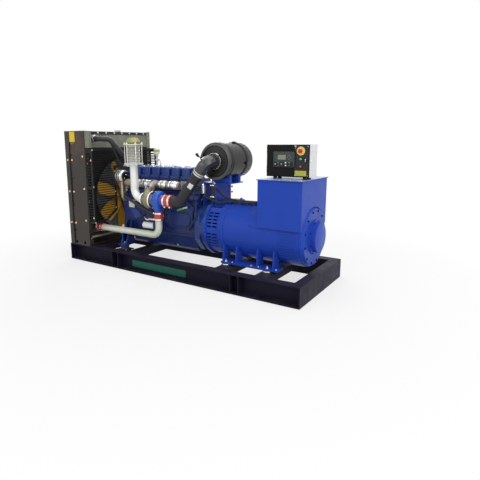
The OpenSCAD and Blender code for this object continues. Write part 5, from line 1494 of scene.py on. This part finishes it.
b = Build().pad(facing(182.5, 163.5, 11.5), 217, 145, 3, 12, 2.2, 2)
b.done("controller_face", "slate", body="door")
b = Build().pad(facing(162.5, 183.5, 14.3), 92, 54, 1, 3, 0.6)
b.pad(facing(182.5, 118, 14.3), 190, 42, 0.7, 6, 0.4)
b.done("controller_recess", "black", body="door")
Build().pad(facing(162.5, 183.5, 15.1), 83, 45, 0.6, 1, 0.3).done("controller_screen", "screen", body="door")
keys = {"plate_white": [(203, 133), (204, 108)], "key_green": [(128, 133), (240, 134)],
        "key_red": [(129, 107), (241, 110)], "key_pale": [(98, 119), (160, 120)]}
for look, places in keys.items():
    b = Build()
    for x, z in places:
        b.pad(facing(x, z, 14.8), 16, 12, 2.4, 4, 1.2, 2)
    b.done("controller_keys_" + look, look, body="door")
b = Build()
for dx, dz in ((0, 16), (0, -16), (16, 0), (-16, 0)):
    b.pad(facing(238 + dx, 183 + dz, 14.3), 11, 11, 2.6, 4, 1.2, 2)
b.done("controller_pad", "key_dull", body="door")
b = Build()
for x, z in ((104, 190), (105, 171), (106, 154)):
    b.lathe(spot(x, z, 14.3), NEARWARD, [(0, 3.2), (1.8, 3), (2.6, 0)], 14)
b.done("controller_lights", "key_green", body="door")

STOP = spot(347, 242)
KEY = spot(395, 156)
b = Build().lathe(STOP, NEARWARD, [(1.5, 13.5), (1.5, 39.5), (3.5, 40.2), (5.2, 39), (5.8, 24), (7.5, 22.5),
                                   (7.5, 13.5)], 56, closed=True)
b.done("stop_ring", "stop_yellow", body="door")
b = Build().lathe(STOP, NEARWARD, [(-9.5, 0), (-9.5, 10.8), (14, 10.8), (14.5, 17), (16, 19.8), (21, 20.4),
                                   (25, 19), (28.5, 14.5), (30, 8), (30.4, 0)], 48)
b.lathe(off(STOP, 0, 3.5, 0), FARWARD, [(0, 10.8), (0, 16), (5.5, 16), (5.5, 10.8)], 6, closed=True)
for at in spokes(3, STOP, NEARWARD):
    b.block((9, -1.2, 27.2), (16.5, 1.2, 29.6), 0.8, 1, at)
b.done("stop_mushroom", "stop_red", body="stop_button", replaces=["emergency_stop"])

for z, look in ((169, "lamp_green"), (100, "lamp_red")):
    lamp = spot(350, z)
    b = Build().lathe(lamp, NEARWARD, [(1.5, 11.5), (1.5, 15), (8.5, 14.6), (10, 13.4), (10, 11.5)], 32,
                      closed=True)
    b.done(look + "_bezel", "black", body="door")
    b = Build().lathe(lamp, NEARWARD, [(9.5, 0), (9.5, 12), (12.5, 11), (14.5, 7.5), (15.2, 0)], 32)
    b.done(look + "_lens", look, body="door")

b = Build().lathe(KEY, NEARWARD, [(-9.5, 0), (-9.5, 10.8), (0.8, 10.8), (0.8, 15), (3, 15.6), (6, 14.8),
                                  (8.5, 11), (8.5, 0)], 36)
b.lathe(off(KEY, 0, 3.5, 0), FARWARD, [(0, 10.8), (0, 15), (5.5, 15), (5.5, 10.8)], 6, closed=True)
b.done("key_barrel", "black", body="key", replaces=["key_switch"])
b = Build().pad(seat_at(off(KEY, -1.8, -7.5, 0), REARWARD, 0), 30, 8.5, 3.6, 3, 1)
b.done("key_blade", "chrome", body="key")
b = Build().lathe(KEY, NEARWARD, [(1.5, 16.2), (1.5, 20), (4, 19.2), (4.5, 16.2)], 36, closed=True)
b.done("key_collar", "black", body="door")

Build().pad(facing(293, 286, 1.8), 20, 10, 1.2, 4, 0.6).done("switch_panel_mark", "plate_white", body="door")
Build().pad(facing(348.5, 37.5, 1.8), 113, 49, 1, 3, 0.4).done("panel_bare_note", "plate_lime", body="door")
b = Build()
for x, z in ((292, 16), (416, 16), (292, 270), (416, 284)):
    b.screw(spot(x, z, 2), NEARWARD, 3.6)
b.done("door_screws", "zinc", body="door")
b = Build().tube(bent([(PANEL_X + 3, case1.y - 1.5, case1.z - 3), off(case1, -3, -1.5, -3),
                       (case1.x - 3, case1.y - 1.5, PANEL_Z + 3)], 6, 3), 2.6, 6)
for z in (60, 240):
    b.block((case1.x - 1, -110, PANEL_Z + z), (case1.x + 1.5, -20, PANEL_Z + z + 6), 1)
b.done("cabinet_seams", "white")
b = Build().lathe((case1.x, -120, case1.z - 150), REARWARD, [(-1, 14), (3, 14), (5, 11), (5, 0)], 28)
b.block((case1.x + 4, -121.5, case1.z - 158), (case1.x + 7.5, -118.5, case1.z - 142), 0.8)
b.done("cabinet_lock", "chrome")
b = Build()
for x in (PANEL_X + 65, case1.x - 60):
    for y in (-118, -15):
        b.lathe((x, y, top + 0.5), UP, [(0, 22), (4, 22), (6, 18.5), (16, 17), (22.5, 19.5), (22.5, 0)], 28)
b.done("cabinet_feet", "mount")

# Loom

loom = [(box0.x, -130, AXIS + 295), (BARREL + 40, -130, AXIS + 295), (RING - 78, -182, AXIS + 284),
        (BELL - 60, -186, AXIS + 330), (X1 - 14, -150, DECK + 60),
        ((X1 + CYLINDERS[5] + 71) / 2, -120, DECK + 75), (CYLINDERS[5] + 71.3, -120, DECK + 75)]
b = Build().tube(evenly(bent(loom, 45, 8), 2.5), lambda t: 9.3 + 1.3 * math.sin(t * 1290), 14)
b.done("loom_conduit", "cable", replaces=["cable_harness"])
b = Build()
for at, axis in (((BARREL + 60, -130, AXIS + 295), REARWARD),
                 ((X1 + 30, -160, DECK + 22), (0.75, -0.2, -0.4)),
                 ((RING - 10, -158, AXIS + 289), (0.9, 0.4, 0.1))):
    b.hoop(at, axis, 9.8, 7, 1.8)
b.done("loom_ties", "mount")


# Floor and light


def area(name, place, target, size, watts):
    """A rectangular lamp that looks at a target."""
    data = bpy.data.lights.new(name, "AREA")
    data.shape = "RECTANGLE"
    data.size, data.size_y = size
    data.energy = watts
    lamp = bpy.data.objects.new(name, data)
    scene.collection.objects.link(lamp)
    lamp.location = place
    lamp.rotation_euler = (Vector(target) - Vector(place)).to_track_quat("-Z", "Y").to_euler()


def shown(t):
    """1 for the rays that show the backdrop: camera, transmission and glossy ones."""
    rays = node(t, "LightPath").outputs
    fac = rays["Is Camera Ray"]
    for ray in ("Is Transmission Ray", "Is Glossy Ray"):
        fac = node(t, "Math", {0: fac, 1: rays[ray]}, operation="MAXIMUM").outputs[0]
    return fac


def blend(t, fac, first, second, out):
    """Leads a mix of two shaders to the output."""
    mixed = node(t, "MixShader", {0: fac, 1: first.outputs[0], 2: second.outputs[0]})
    t.links.new(mixed.outputs[0], out.inputs[0])


area("key", (6.0, -3.2, 4.8), (0.2, 0, 0.7), (8.0, 8.0), 350)
area("front", (-1.8, -7.0, 3.4), (-0.2, 0, 0.8), (8.0, 4.0), 110)
area("top", (0.0, 0.4, 6.0), (0, 0, 0.6), (7.0, 5.0), 170)
area("back", (-4.5, 4.5, 3.6), (0, 0, 0.8), (4.0, 3.5), 140)

world = bpy.data.worlds.new("world")
scene.world = world
world.use_nodes = True
t = world.node_tree
t.nodes.clear()
out = node(t, "OutputWorld")
dim, white = [node(t, "Background", {0: (1, 1, 1, 1), 1: strength}) for strength in (0.32, 1.0)]
blend(t, shown(t), dim, white, out)

# The floor takes the object's shadow near it and turns white further out
SHADED_TO, WHITE_FROM = 1.6, 3.4
floor_mat, t = tree("floor")
out = node(t, "OutputMaterial")
matt = node(t, "BsdfDiffuse", {0: (0.80, 0.80, 0.81, 1)})
white = node(t, "Emission", {0: (1, 1, 1, 1)})
fac = shown(t)
away = node(t, "VectorMath", operation="LENGTH")
t.links.new(node(t, "TexCoord").outputs["Object"], away.inputs[0])
fade = node(t, "MapRange", {"From Min": SHADED_TO, "From Max": WHITE_FROM, "To Min": 0.70, "To Max": 1.0,
                            "Value": away.outputs["Value"]})
share = node(t, "Math", {1: fade.outputs[0], 0: fac}, operation="MULTIPLY")
blend(t, share.outputs[0], matt, white, out)
floor_mesh = bpy.data.meshes.new("floor")
floor_mesh.from_pydata([(-30, -30, 0), (30, -30, 0), (30, 30, 0), (-30, 30, 0)], [], [(0, 1, 2, 3)])
floor_mesh.materials.append(floor_mat)
floor = bpy.data.objects.new("floor", floor_mesh)
scene.collection.objects.link(floor)

scene.view_settings.view_transform = "Standard"

# End

bpy.context.view_layer.update()
